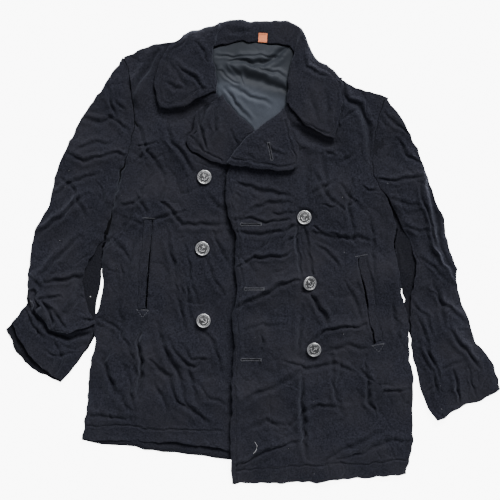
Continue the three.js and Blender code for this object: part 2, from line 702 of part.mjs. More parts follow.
const TRIM_CLEAR = 0.3;
const underCollar = wall(collarGrid, -COLLAR_PLY / 2, -PLY_CLEAR, 1);
const trimZone = wall(collarGrid, PLY_CLEAR - TRIM_CLEAR, COLLAR_PLY / 2 + TRIM_CLEAR, 1);
add('collar_under', trimmed(underCollar, trimZone), MELTON);
const collarUpper = add('collar_upper', wall(collarGrid, PLY_CLEAR, COLLAR_PLY / 2, 1), MELTON);

// Pocket welts: a narrow strip beside each slit, made from the front's own heights.
const WELT = { width: 14, thickness: 2, cells: 9, reach: 3, above: 0.35 };
const POCKETS = table('side topX topY footX footY towards', [
  ['right', -177, 54, -188, -105, -1],
  ['left', 196, -14, 225, -168, 1],
]);

for (const pocket of POCKETS) {
  const front = pocket.side === 'right' ? frontRight : frontLeft;
  const top = point(pocket.topX, pocket.topY);
  const foot = point(pocket.footX, pocket.footY);
  const across = point(foot.y - top.y, top.x - foot.x).normalize().multiplyScalar(pocket.towards * WELT.width);
  across.multiplyScalar(Math.sign(across.x) * pocket.towards);
  const flat = Array.from({ length: WELT.cells + 1 }, (_, i) => {
    const start = top.clone().lerp(foot, i / WELT.cells);
    return [0, 0.5, 1].map((t) => start.clone().addScaledVector(across, t));
  });
  const laid = raise(flat, (x, y) => {
    return restAt([front], x, y, WELT.reach) + WELT.above + WELT.thickness / 2;
  });
  add(`pocket_welt_${pocket.side}`, singlePly(laid, WELT.thickness, pocket.towards), MELTON);
}

// Shank buttons, three to a front, each just clear of the cloth
const BUTTON_SEGMENTS = 20;
const BUTTON_PROFILE = table('radius height', [
  [0, 0],
  [3.4, 0],
  [3, 3.2],
  [11.6, 3.6],
  [BUTTON_RADIUS, 5],
  [12.2, 6.2],
  [11, 6.4],
  [10.4, 5.9],
  [6, 6.9],
  [0, 7.3],
]);
const BUTTONS = table('x y tiltX tiltY lift', [
  [-82, 131, 0, 0, 0],
  [-85.5, 2.5, 0, 0, 0],
  [-83.5, -127, 0, 0, 0],
  [97.5, 58.5, 0, 0, 0],
  [105.5, -59, 0.2, 0.42, 1.3],
  [115, -178, 0.18, 0, 0.2],
]);
const BUTTON_REACH = 3;

BUTTONS.forEach((button, i) => {
  const profile = BUTTON_PROFILE.map(({ radius, height }) => new THREE.Vector2(radius, height));
  const geometry = new THREE.LatheGeometry(profile, BUTTON_SEGMENTS);
  geometry.rotateX(Math.PI / 2);
  const mesh = add(`button_${i + 1}`, geometry, PEWTER);
  const cloth = restAt([button.x < 0 ? frontRight : frontLeft], button.x, button.y, BUTTON_REACH);
  mesh.position.set(button.x, button.y, cloth + SEAT_CLEAR + button.lift);
  mesh.rotation.set(button.tiltX, button.tiltY, 0);
});

// The blank woven tab at the back neck seam
const TAB = { x: 23, y: 381, width: 15.6, height: 16.4, thickness: 0.9, turn: -0.06 };
const tab = add('neck_tab', new THREE.BoxGeometry(TAB.width, TAB.height, TAB.thickness), TAB_RIBBON);
const tabRest = restAt([collarUpper], TAB.x, TAB.y, TAB.height / 2);
tab.position.set(TAB.x, TAB.y, tabRest + SEAT_CLEAR + TAB.thickness / 2);
tab.rotation.z = TAB.turn;

// The origin is under the middle of the whole coat.
coat.updateMatrixWorld(true);
const box = new THREE.Box3().setFromObject(coat);
const middle = box.getCenter(new THREE.Vector3());
coat.position.set(-middle.x, -middle.y, -box.min.z);

export default coat;
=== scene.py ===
import math
import random

import bmesh
import bpy
import numpy as np
from mathutils import Matrix, Vector
from mathutils.bvhtree import BVHTree
from mathutils.kdtree import KDTree


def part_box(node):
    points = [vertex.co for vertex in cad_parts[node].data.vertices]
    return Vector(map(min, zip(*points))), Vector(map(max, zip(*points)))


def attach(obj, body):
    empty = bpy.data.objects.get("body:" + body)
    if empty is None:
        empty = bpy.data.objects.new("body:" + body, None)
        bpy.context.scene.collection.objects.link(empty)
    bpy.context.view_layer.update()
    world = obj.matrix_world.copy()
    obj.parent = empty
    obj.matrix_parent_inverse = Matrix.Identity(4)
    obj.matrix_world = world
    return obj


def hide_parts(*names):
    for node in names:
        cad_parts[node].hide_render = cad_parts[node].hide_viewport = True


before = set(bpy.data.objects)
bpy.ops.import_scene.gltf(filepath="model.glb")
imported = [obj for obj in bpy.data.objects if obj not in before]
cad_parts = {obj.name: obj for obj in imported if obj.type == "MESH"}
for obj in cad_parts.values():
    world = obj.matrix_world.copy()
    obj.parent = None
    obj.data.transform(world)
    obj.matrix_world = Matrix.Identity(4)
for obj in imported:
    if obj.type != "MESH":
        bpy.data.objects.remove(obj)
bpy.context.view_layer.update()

# Sizes in metres. Tables give millimetres from the middle of the photographed spread, which lies here:
MM = 0.001
SPREAD = Vector((-0.006, 0.0039))
WOOL = 0.0026
SEED = 11

# Camera: straight above the spread
PHOTO_WIDTH = 0.9
CAMERA_HEIGHT = 4.2
SENSOR = 36.0


def table(columns, rows):
    """Rows become dictionaries with the named columns."""
    names = columns.split()
    return [dict(zip(names, row)) for row in rows]


# Folds: a groove of that depth and half width along the path, with a soft ridge on each of its sides
FOLD_COLUMNS = "deep left right width path"
FRONT_LEFT = table(FOLD_COLUMNS, (
    (2.6, 0, 0, 13, ((91, 34), (93, 0), (99, -44))),
    (5.6, 0.6, 1.2, 4.5, ((83, 38), (84, 0), (90, -46))),
    (5.6, 1.2, 0.6, 4.5, ((99, 38), (104, 0), (112, -46))),
    (-2.6, 0, 0, 11, (
        (-38, 130), (-34, 95), (-24, 38), (-15, 11), (-19, -16), (-14, -61), (-17, -88), (-23, -155), (-25, -373),
    )),
    (6.4, 2.0, 2.4, 6, ((110, -76), (120, -94), (130, -112), (142, -138))),
    (1.4, 1.2, 0.4, 3, ((83, 20), (88, -20), (95, -52))),
    (1.4, 0.4, 1.2, 3, ((103, 25), (110, -25), (115, -47))),
    (2.6, 3.4, 1.4, 5, ((112, -162), (133, -151), (160, -142), (207, -133))),
    (3.0, 4.0, 1.4, 5, ((-25, -104), (18, -83), (56, -65), (88, -54))),
    (2.6, 3.2, 1.2, 4, ((-22, -32), (11, -14), (41, -11), (54, -13), (77, -4))),
    (2.0, 2.4, 1.0, 4, ((65, 11), (88, 25))),
    (2.0, 1.8, 1.4, 4, ((52, 0), (56, 20), (72, 41))),
    (2.2, 2.4, 1.4, 4, ((18, -5), (31, 13), (47, 47))),
    (2.0, 2.0, 1.2, 4, ((-34, 52), (5, 56), (31, 52), (70, 54))),
    (1.6, 1.8, 0.8, 3.5, ((41, 68), (83, 68))),
    (2.0, 2.4, 1.0, 4, ((-11, 59), (13, 77), (31, 85), (72, 83))),
    (1.2, 1.2, 0.6, 3, ((-31, 99), (-14, 92))),
    (1.2, 1.4, 0.6, 3, ((124, 83), (157, 74))),
    (1.8, 2.2, 1.0, 4.5, ((112, 104), (155, 124))),
    (1.8, 1.8, 0.8, 3, ((113, 43), (128, 31))),
    (1.2, 1.4, 0.6, 3.5, ((142, 29), (175, 18))),
    (2.0, 2.2, 1.0, 4, ((119, 7), (142, -11), (160, -32))),
    (1.2, 1.0, 1.0, 3, ((182, 133), (185, 106))),
    (2.0, 1.6, 1.6, 5, ((95, -101), (88, -142), (85, -175))),
    (2.6, 2.0, 2.0, 5, ((95, -234), (92, -310), (99, -374))),
    (1.8, 2.6, 1.2, 7, ((-27, -283), (18, -256), (72, -234), (103, -211))),
    (2.6, 3.2, 1.4, 5, ((-27, -387), (27, -364), (88, -344))),
    (2.2, 2.8, 1.2, 6, ((130, -385), (178, -353), (236, -329))),
    (2.2, 2.6, 1.2, 6, ((149, -382), (202, -358), (252, -343), (284, -343))),
    (2.0, 1.8, 1.0, 4, ((198, -211), (225, -236))),
    (2.0, 1.4, 1.4, 4, ((216, -238), (211, -279), (223, -297))),
    (1.8, 2.2, 0.8, 4, ((225, -274), (243, -256), (281, -252))),
    (1.2, 1.0, 1.0, 3, ((247, -220), (238, -252))),
    (4.2, 3.0, 2.6, 7, ((164, 290), (175, 268), (196, 259), (211, 221), (218, 162))),
    (1.8, 2.0, 1.0, 5, ((162, 157), (198, 187))),
    (1.6, 1.6, 1.0, 4, ((167, 234), (184, 247), (194, 256))),
    (1.8, 1.8, 0.8, 3.5, ((200, 115), (212, 106), (227, 106))),
    (1.6, 1.6, 0.8, 3.5, ((135, 176), (153, 166))),
    (2.0, 1.6, 1.2, 5, ((162, 117), (184, 90), (209, 61))),
    (3.0, 1.6, 1.6, 13, ((99, 180), (106, 133), (101, 85))),
    (1.4, 1.6, 0.8, 5, ((-11, -144), (22, -133), (61, -137))),
    (1.6, 1.6, 1.0, 6, ((-7, -324), (32, -306), (72, -313))),
    (1.6, 1.4, 1.4, 6, ((162, -198), (155, -256), (167, -302))),
    (1.4, 1.4, 0.8, 5, ((140, -184), (180, -171), (212, -180))),
    (1.4, 1.4, 1.0, 5, ((256, -90), (265, -144), (259, -191))),
    (-2.2, 0, 0, 12, ((238, 92), (252, 40), (257, -20), (264, -70), (272, -130))),
    (2.6, 1.0, 1.6, 4, ((196, -12), (211, -90), (225, -170))),
    (7.0, 0, 0.6, 13, ((70, 226), (92, 216), (114, 200), (136, 190), (152, 190))),
    (2.4, 2.4, 1.0, 6, ((-26, 120), (20, 104), (70, 96))),
    (2.2, 2.2, 0.8, 5, ((-30, 34), (10, 28), (60, 34), (92, 46))),
    (2.0, 2.0, 0.8, 5, ((60, -200), (100, -214), (150, -206), (196, -222))),
    (2.0, 1.6, 1.2, 5, ((20, -140), (26, -176), (14, -214))),
    (1.8, 1.6, 1.2, 5, ((120, 140), (140, 96), (176, 66))),
    (1.8, 1.8, 0.8, 5, ((112, 30), (150, 20), (192, 26), (226, 16))),
    (1.8, 1.6, 0.8, 5, ((170, -60), (190, -96), (200, -130))),
    (2.0, 1.8, 1.0, 5, ((60, -330), (86, -296), (120, -280), (164, -286))),
    (3.2, 1.6, 2.2, 6, ((96, -226), (92, -280), (96, -330), (104, -376))),
    (2.6, 1.4, 1.6, 4.5, ((88, -118), (84, -150), (82, -182))),
    (2.4, 1.6, 1.6, 5, ((206, -190), (216, -232), (210, -270), (224, -300))),
    (2.2, 1.6, 1.6, 5, ((150, -190), (144, -232), (156, -270))),
    (2.4, 1.8, 1.6, 5, ((182, 126), (176, 90), (186, 50), (184, 16))),
    (2.2, 1.6, 1.4, 5, ((130, 170), (138, 130), (132, 96))),
    (2.2, 1.6, 1.6, 5, ((214, 60), (226, 10), (222, -40))),
))
FRONT_RIGHT = table(FOLD_COLUMNS, (
    (5.0, 3.4, 3.0, 8, ((-166, 355), (-180, 331), (-196, 306), (-209, 284), (-212, 252))),
    (1.8, 2.0, 1.0, 3.5, ((-205, 189), (-167, 191))),
    (1.8, 1.8, 1.0, 4, ((-203, 164), (-178, 180))),
    (2.0, 1.4, 1.6, 4, ((-185, 126), (-193, 97), (-205, 83), (-232, 79))),
    (2.0, 1.4, 1.6, 4, ((-205, 83), (-218, 54), (-229, 36))),
    (2.2, 1.8, 1.4, 5, ((-155, 121), (-162, 88), (-121, 43), (-88, 43), (-38, 47))),
    (1.8, 1.6, 1.4, 6, ((-247, 23), (-232, -2), (-216, -23))),
    (1.2, 1.0, 1.0, 3, ((-236, -25), (-232, -56))),
    (2.6, 2.2, 1.8, 5, ((-196, -131), (-200, -144), (-194, -202), (-202, -266))),
    (2.8, 2.4, 2.0, 6, ((-176, -198), (-144, -234), (-130, -270), (-108, -286), (-72, -315))),
    (1.6, 1.4, 1.2, 4.5, ((-153, -175), (-142, -229))),
    (2.0, 1.8, 1.6, 7, ((-266, -189), (-248, -243), (-212, -292))),
    (1.8, 1.8, 0.8, 4, ((-122, -171), (-110, -196), (-76, -196))),
    (3.2, 2.2, 2.6, 6, ((-149, 229), (-142, 196), (-121, 167), (-97, 139))),
    (1.8, 2.0, 1.0, 5, ((-292, -299), (-252, -301), (-209, -302))),
    (1.6, 1.4, 1.2, 4.5, ((-110, -14), (-101, -58), (-94, -97))),
    (1.6, 1.4, 1.2, 5, ((-68, 32), (-54, 0), (-38, -32))),
    (1.4, 1.4, 1.2, 5, ((-133, -22), (-122, -76), (-126, -130))),
    (1.6, 1.4, 1.2, 6, ((-234, -90), (-229, -144), (-234, -184))),
    (1.6, 1.4, 1.0, 5, ((-97, -234), (-79, -266), (-47, -277))),
    (1.4, 1.4, 0.8, 5, ((-81, 104), (-61, 79), (-43, 68))),
    (1.4, 1.2, 1.2, 5, ((-148, 36), (-140, -4), (-144, -43))),
    (-2.6, 0, 0, 11, ((-218, 136), (-238, 70), (-250, 16), (-256, -60), (-262, -130))),
    (6.0, 0, 0, 5, ((-214, 190), (-226, 150), (-240, 112), (-251, 76), (-261, 36), (-268, 0), (-270, -60))),
    (5.0, 0, 0, 9, ((-254, 62), (-262, 30), (-268, -4))),
    (2.6, 1.6, 1.0, 4, ((-177, 52), (-181, -20), (-188, -104))),
    (8.0, 0.6, 0, 15, ((-164, 242), (-136, 242), (-110, 250), (-90, 262))),
    (5.0, 0, 0, 11, (
        (-55, 130), (-46, 90), (-40, 38), (-31, 11), (-36, -16), (-30, -61), (-33, -88), (-39, -155), (-41, -400),
    )),
    (2.2, 1.8, 1.2, 5, ((-206, 232), (-190, 190), (-170, 150), (-150, 120))),
    (1.8, 1.8, 1.0, 5, ((-220, 60), (-196, 48), (-160, 56), (-120, 70))),
    (2.0, 1.8, 1.2, 5, ((-120, 20), (-108, -40), (-112, -100), (-100, -150))),
    (1.8, 1.6, 1.0, 5, ((-262, -120), (-232, -150), (-210, -200))),
    (2.0, 1.6, 1.2, 5, ((-170, -240), (-150, -280), (-158, -320))),
    (2.0, 1.8, 1.0, 5, ((-90, -130), (-64, -170), (-48, -230))),
    (1.8, 1.6, 1.0, 5, ((-80, -10), (-60, -60), (-46, -84))),
    (3.4, 2.4, 2.0, 6, ((-190, -124), (-198, -160), (-192, -210), (-200, -252))),
    (3.4, 2.2, 2.2, 6, ((-168, -132), (-152, -180), (-130, -222), (-116, -268), (-92, -296))),
    (2.6, 2.0, 1.6, 5, ((-150, -160), (-128, -196), (-100, -212), (-82, -196))),
    (2.4, 1.8, 1.6, 5, ((-120, -196), (-104, -236), (-96, -272))),
    (2.4, 1.8, 1.6, 5, ((-250, -150), (-262, -200), (-246, -250), (-250, -300))),
    (2.2, 1.8, 1.4, 5, ((-230, -210), (-216, -250), (-206, -290))),
    (2.4, 2.0, 1.4, 5, ((-190, 40), (-206, 10), (-218, -30), (-222, -70))),
    (2.4, 1.6, 1.6, 5, ((-150, 20), (-136, -40), (-130, -90), (-118, -140))),
    (2.2, 1.8, 1.4, 5, ((-200, 100), (-186, 72), (-182, 60))),
))
SLEEVE_RIGHT = table(FOLD_COLUMNS, (
    (2.6, 3.2, 1.6, 6, ((-385, 18), (-347, 52), (-317, 77), (-290, 97))),
    (2.6, 3.2, 1.6, 6, ((-381, -49), (-353, -18), (-326, 7), (-308, 25))),
    (2.0, 2.0, 1.4, 5, ((-400, -38), (-378, -68))),
    (1.8, 1.8, 1.0, 4, ((-241, 272), (-223, 252))),
    (1.8, 2.0, 1.0, 4, ((-259, 241), (-238, 227), (-218, 211))),
    (1.8, 2.0, 1.0, 4.5, ((-275, 167), (-245, 171), (-214, 169))),
    (3.0, 2.4, 1.2, 3.5, ((-389, -72), (-382, -85), (-376, -92))),
    (2.0, 2.4, 1.0, 4, ((-373, -92), (-356, -86), (-342, -85))),
    (4.6, 3.4, 2.4, 5, ((-373, -92), (-364, -112), (-355, -131))),
    (3.0, 3.4, 1.6, 4.5, ((-371, -56), (-342, -54), (-299, -52))),
    (5.2, 4.2, 2.0, 7, ((-383, -121), (-362, -142), (-342, -149), (-322, -155), (-295, -151), (-283, -146))),
    (1.8, 2.0, 1.0, 4, ((-306, -128), (-274, -126))),
    (1.8, 2.0, 1.0, 4, ((-306, -86), (-273, -87))),
    (1.6, 1.2, 1.2, 3, ((-396, -121), (-398, -149))),
    (1.4, 1.4, 1.0, 4, ((-275, 119), (-268, 97), (-272, 72))),
    (1.6, 1.8, 1.0, 5.5, ((-356, 97), (-317, 121), (-274, 140))),
    (1.6, 1.6, 1.0, 5, ((-310, 180), (-277, 194), (-248, 191))),
    (1.6, 1.4, 1.4, 5, ((-367, -180), (-346, -191), (-320, -184))),
    (-2.6, 0, 0, 11, ((-246, 140), (-264, 88), (-288, 14), (-308, -44))),
    (6.0, 0, 0, 5, ((-214, 190), (-226, 150), (-240, 112), (-251, 76), (-261, 36), (-272, 2), (-290, -40))),
    (5.0, 0, 0, 9, ((-254, 62), (-264, 30), (-274, -4))),
    (5.0, 0.6, 3.4, 8, ((-300, -50), (-314, -90), (-336, -122))),
    (2.2, 2.4, 1.0, 5, ((-330, 176), (-300, 160), (-268, 168))),
    (2.0, 2.0, 1.0, 5, ((-300, 236), (-272, 226), (-246, 236))),
    (2.0, 1.6, 1.2, 5, ((-262, 300), (-250, 262), (-236, 226))),
    (2.0, 1.8, 1.2, 5, ((-340, 130), (-310, 96), (-296, 60))),
    (2.4, 1.6, 1.8, 4, ((-398, -100), (-380, -130), (-386, -160))),
    (2.2, 1.6, 1.6, 4, ((-350, -160), (-340, -196), (-352, -222))),
    (3.6, 3.0, 2.6, 4.5, ((-392, -74), (-384, -90), (-378, -106), (-386, -118))),
    (2.8, 2.2, 1.8, 4.5, ((-366, -100), (-346, -122), (-330, -138))),
    (2.4, 2.0, 1.6, 4.5, ((-400, -112), (-388, -140), (-372, -160))),
))
SLEEVE_LEFT = table(FOLD_COLUMNS, (
    (3.0, 2.4, 2.0, 5, ((358, -144), (382, -176), (412, -214))),
    (2.6, 1.8, 2.2, 4.5, ((310, -162), (328, -198), (344, -238))),
    (2.0, 2.0, 1.4, 5, ((288, -94), (315, -122), (328, -149))),
    (2.0, 2.2, 1.2, 5, ((328, -76), (355, -103), (383, -130))),
    (1.8, 2.0, 1.0, 4, ((342, -212), (383, -202))),
    (1.2, 1.4, 0.6, 3, ((374, -146), (392, -146))),
    (1.4, 1.4, 0.8, 3.5, ((310, -265), (328, -247))),
    (3.2, 1.2, 2.2, 3.5, ((365, -216), (371, -241), (380, -274))),
    (1.4, 1.0, 1.0, 3, ((391, -212), (407, -261))),
    (2.2, 2.4, 1.2, 4, ((227, 126), (270, 124), (313, 130))),
    (1.8, 1.6, 1.4, 4, ((277, 171), (254, 131))),
    (1.4, 1.6, 0.8, 4, ((252, 94), (281, 83), (313, 81))),
    (2.0, 0.4, 3.0, 3.5, ((315, 131), (308, 108), (313, 81), (326, 54), (329, 27), (346, -13), (364, -50))),
    (1.6, 1.8, 1.0, 5, ((277, 43), (302, 32), (328, 34))),
    (1.6, 1.8, 1.0, 5, ((306, -14), (328, -29), (346, -50))),
    (1.6, 1.4, 1.2, 5, ((243, 248), (263, 227), (284, 212))),
    (-2.4, 0, 0, 12, ((258, 92), (279, 50), (298, 14), (328, -40))),
    (3.6, 0.6, 3.4, 6, ((318, 140), (326, 100), (336, 56), (344, 8), (362, -44))),
    (2.2, 1.8, 1.2, 5, ((262, 200), (284, 168), (312, 150))),
    (2.0, 1.8, 1.0, 5, ((240, 168), (262, 186), (282, 214))),
    (2.2, 1.6, 1.4, 5, ((330, -60), (346, -100), (352, -140))),
    (2.2, 1.8, 1.4, 5, ((310, -190), (330, -220), (336, -262))),
    (2.0, 1.6, 1.4, 5, ((300, -120), (320, -170), (330, -206))),
))
COLLAR = table(FOLD_COLUMNS, (
    (3.2, 2.8, 1.6, 4.5, ((-132, 334), (-112, 316), (-94, 300), (-84, 282))),
    (1.8, 1.8, 1.0, 5, ((-150, 300), (-132, 288), (-118, 290))),
    (2.0, 1.4, 1.6, 5, ((-96, 372), (-84, 356), (-78, 338))),
    (1.8, 1.6, 1.2, 5, ((92, 352), (100, 330), (118, 318))),
    (1.8, 1.6, 1.2, 6, ((134, 280), (140, 250), (132, 226))),
    (1.4, 1.2, 1.2, 6, ((-150, 340), (-128, 318), (-112, 290))),
    (1.2, 1.2, 1.0, 5, ((112, 326), (124, 312), (138, 308))),
    (1.2, 1.0, 1.2, 7, ((104, 286), (112, 256), (122, 236))),
    (1.2, 1.2, 1.2, 6, ((-40, 396), (-20, 389), (2, 393))),
))
LAPEL_RIGHT = table(FOLD_COLUMNS, (
    (3.6, 2.8, 2.0, 4.5, ((-74, 262), (-84, 240), (-90, 218), (-84, 196), (-76, 182))),
    (1.8, 2.6, 2.2, 5, ((-58, 266), (-66, 238), (-60, 214), (-72, 190))),
    (1.4, 1.4, 1.0, 4, ((-34, 214), (-24, 190), (-16, 172))),
    (1.2, 1.2, 1.0, 4, ((-112, 206), (-98, 190), (-84, 180))),
))
LAPEL_LEFT = table(FOLD_COLUMNS, (
    (1.2, 1.2, 0.8, 6, ((20, 198), (38, 176), (60, 166))),
    (1.0, 1.0, 0.8, 6, ((-12, 172), (8, 162), (30, 154))),
))
LINING = table(FOLD_COLUMNS, (
    (3.2, 2.0, 2.4, 7, ((66, 368), (47, 349), (22, 333), (-30, 338))),
    (1.2, 1.4, 0.8, 4, ((-7, 338), (18, 322), (45, 315), (72, 302))),
    (3.0, 3.6, 0.6, 9, ((-46, 322), (9, 306), (74, 282))),
    (1.2, 1.4, 1.0, 6, ((-45, 292), (-27, 262), (-2, 232))),
    (0.9, 1.0, 0.8, 3, ((-54, 324), (-38, 312), (-22, 300))),
    (0.9, 1.0, 0.8, 3, ((-34, 330), (-20, 316), (-10, 300))),
    (1.0, 1.0, 0.8, 3.5, ((-60, 350), (-20, 345), (20, 349), (56, 346))),
    (1.0, 1.2, 0.8, 5, ((-34, 296), (4, 276), (38, 262))),
))
UNDER_SLEEVE_RIGHT = table(FOLD_COLUMNS, (
    (-3.0, 0, 0, 5, ((-300, -116), (-288, -120), (-272, -118))),
    (-2.4, 0, 0, 4, ((-302, -94), (-290, -90), (-276, -98))),
    (-2.6, 0, 0, 4, ((-288, -40), (-282, -64), (-280, -90))),
    (-2.0, 0, 0, 4, ((-306, -70), (-292, -76), (-284, -84))),
))
UNDER_SLEEVE_LEFT = table(FOLD_COLUMNS, (
    (0.0, 2.6, 0.0, 4, ((262, 48), (272, 38), (279, 22))),
    (0.0, 2.0, 0.0, 4, ((262, 20), (268, -10), (276, -36))),
))

# Cloth pieces: the mesh levels that its solid is refined by, then its cut's width, length and area
FOLDS = {
    "front_right": FRONT_RIGHT, "front_left": FRONT_LEFT,
    "sleeve_top_right": SLEEVE_RIGHT, "sleeve_top_left": SLEEVE_LEFT,
    "collar_upper": COLLAR, "collar_under": COLLAR,
    "lapel_right": LAPEL_RIGHT, "facing_right": LAPEL_RIGHT,
    "lapel_left": LAPEL_LEFT, "facing_left": LAPEL_LEFT,
    "lining_neck": LINING,
    "sleeve_under_right": UNDER_SLEEVE_RIGHT, "sleeve_under_left": UNDER_SLEEVE_LEFT,
}
CLOTH = table("node levels fine lies waves width length area rests_on", (
    ("back_right", 1, 0, 0.0, 0.3, 0.310, 0.760, 0.188, ()),
    ("back_left", 2, 0, 0.0, 0.3, 0.310, 0.760, 0.189, ()),
    ("lining_neck", 3, 1, 1.0, 0.15, 0.165, 0.180, 0.0215, ("back_right", "back_left")),
    ("front_right", 2, 3, 1.0, 1.0, 0.355, 0.760, 0.205, ("back_right",)),
    ("lapel_right", 2, 1, 0.5, 0.3, 0.110, 0.160, 0.0115, ("front_right",)),
    ("facing_right", 2, 2, 0.5, 0.3, 0.120, 0.160, 0.0125, ("lapel_right",)),
    ("front_left", 2, 3, 1.0, 1.0, 0.350, 0.800, 0.210, ("back_left", "front_right")),
    ("lapel_left", 2, 1, 0.5, 0.3, 0.100, 0.130, 0.0085, ("front_left",)),
    ("facing_left", 2, 2, 0.5, 0.3, 0.105, 0.130, 0.0095, ("lapel_left",)),
    ("sleeve_under_right", 2, 0, 0.0, 0.5, 0.165, 0.580, 0.065, ()),
    ("sleeve_top_right", 2, 2, 1.0, 0.9, 0.175, 0.600, 0.072, ("sleeve_under_right",)),
    ("sleeve_under_left", 2, 1, 0.0, 0.5, 0.155, 0.550, 0.058, ()),
    ("sleeve_top_left", 2, 2, 1.0, 0.9, 0.165, 0.560, 0.060, ("sleeve_under_left",)),
    ("collar_under", 2, 0, 0.6, 0.5, 0.130, 0.560, 0.056, ("front_right", "front_left")),
    ("collar_upper", 2, 2, 0.6, 0.5, 0.130, 0.560, 0.058, ("collar_under",)),
    ("pocket_welt_right", 3, 0, 0.0, 0.0, 0.014, 0.162, 0.00226, ("front_right",)),
    ("pocket_welt_left", 3, 0, 0.0, 0.0, 0.014, 0.162, 0.00226, ("front_left",)),
))
GROUPS = (
    {"collar_under", "collar_upper"},
    {"lapel_right", "facing_right"},
    {"lapel_left", "facing_left"},
)

# How folds taper, wander and fade
FOLD_SPREAD = 1.5
RIDGE_AT = 2.1
FOLD_GAIN = 1.45
FOLD_TIGHT = 0.66
DEEPEST = 6.5
END_POWER = 0.38
WANDER = 1.7
COVER_FADE = 0.009
BUTTON_CALM = (0.011, 0.021)
PUFF = 1.9
SHARP = math.radians(52)
CORNER = math.radians(42)


# Materials
def material(name, roughness, metallic=0.0, **sockets):
    """A node material; returns the material, its tree and its shader."""
    made = bpy.data.materials.new(name)
    made.use_nodes = True
    tree = made.node_tree
    shader = tree.nodes["Principled BSDF"]
    shader.inputs["Roughness"].default_value = roughness
    shader.inputs["Metallic"].default_value = metallic
    for socket, value in sockets.items():
        shader.inputs[socket.replace("_", " ")].default_value = value
    return made, tree, shader


def noise(tree, scale, detail=2.0, stretch=(1, 1, 1), roughness=0.5):
    """Noise of that scale per metre, in the object's own space."""
    where = tree.nodes.new("ShaderNodeTexCoord")
    shape = tree.nodes.new("ShaderNodeMapping")
    shape.inputs["Scale"].default_value = stretch
    texture = tree.nodes.new("ShaderNodeTexNoise")
    texture.inputs["Scale"].default_value = scale
    texture.inputs["Detail"].default_value = detail
    texture.inputs["Roughness"].default_value = roughness
    tree.links.new(where.outputs["Object"], shape.inputs["Vector"])
    tree.links.new(shape.outputs["Vector"], texture.inputs["Vector"])
    return texture.outputs["Fac"]


def ramp(tree, value, stops):
    """Colours by value; stops are (position, (r, g, b))."""
    node = tree.nodes.new("ShaderNodeValToRGB")
    while len(node.color_ramp.elements) < len(stops):
        node.color_ramp.elements.new(0.5)
    for element, (position, colour) in zip(node.color_ramp.elements, stops):
        element.position = position
        element.color = (*colour, 1)
    tree.links.new(value, node.inputs["Fac"])
    return node.outputs["Color"]


def blend(tree, a, b, factor, how="MIX"):
    node = tree.nodes.new("ShaderNodeMix")
    node.data_type = "RGBA"
    node.blend_type = how
    if isinstance(factor, float):
        node.inputs["Factor"].default_value = factor
    else:
        tree.links.new(factor, node.inputs["Factor"])
    for socket, value in ((node.inputs["A"], a), (node.inputs["B"], b)):
        if isinstance(value, tuple):
            socket.default_value = (*value, 1)
        else:
            tree.links.new(value, socket)
    return node.outputs["Result"]


def bumps(tree, shader, layers):
    """Stacks bump layers of (height, strength, distance in metres) onto the shader."""
    normal = None
    for height, strength, distance in layers:
        node = tree.nodes.new("ShaderNodeBump")
        node.inputs["Strength"].default_value = strength
        node.inputs["Distance"].default_value = distance
        tree.links.new(height, node.inputs["Height"])
        if normal is not None:
            tree.links.new(normal, node.inputs["Normal"])
        normal = node.outputs["Normal"]
    tree.links.new(normal, shader.inputs["Normal"])


def melton(name="melton", lift=1.0):
    """Felted dark navy wool: mottled fibres, worn lighter places, a short nap and a soft sheen."""
    made, tree, shader = material(
        name, 0.92, Sheen_Weight=0.14, Sheen_Roughness=0.5, Sheen_Tint=(0.55, 0.6, 0.75, 1), Specular_IOR_Level=0.08,
    )
    dark = tuple(c * lift for c in (0.0032, 0.0034, 0.0056))
    light = tuple(c * lift for c in (0.0198, 0.0206, 0.0292))
    fibres = ramp(tree, noise(tree, 360, 6, roughness=0.72), ((0.36, dark), (0.64, light)))
    worn = ramp(tree, noise(tree, 14, 4), ((0.42, (0.0, 0.0, 0.0)), (0.72, (0.5, 0.5, 0.5))))
    faded = blend(tree, fibres, tuple(c * lift for c in (0.022, 0.0212, 0.0258)), worn)
    lint = ramp(tree, noise(tree, 1500, 2), ((0.72, (0.0, 0.0, 0.0)), (0.78, (0.6, 0.6, 0.6))))
    colour = blend(tree, faded, tuple(c * lift for c in (0.085, 0.086, 0.098)), lint)
    tree.links.new(colour, shader.inputs["Base Color"])
    bumps(tree, shader, (
        (noise(tree, 90, 3), 0.5, 0.0016),
        (noise(tree, 300, 4), 0.8, 0.0012),
        (noise(tree, 1500, 2, stretch=(1, 0.45, 1)), 0.5, 0.0003),
    ))
    return made


# Painted light and shade on the lining: its colour is lighter below this line across the neck and darker above it.
PAINTED_SHADE_LINE = {"direction": (0.257, 0.966, 0.0), "light_to": 0.274, "dark_from": 0.291, "light": 1.4, "dark": 0.68}


def painted_shade_across_neck(tree):
    """Painted light and shade on the satin: lighter below a line across the neck, darker above it."""
    where = tree.nodes.new("ShaderNodeTexCoord")
    along = tree.nodes.new("ShaderNodeVectorMath")
    along.operation = "DOT_PRODUCT"
    along.inputs[1].default_value = PAINTED_SHADE_LINE["direction"]
    tree.links.new(where.outputs["Object"], along.inputs[0])
    light, dark = (PAINTED_SHADE_LINE["light"],) * 3, (PAINTED_SHADE_LINE["dark"],) * 3
    return ramp(tree, along.outputs["Value"], ((PAINTED_SHADE_LINE["light_to"], light), (PAINTED_SHADE_LINE["dark_from"], dark)))


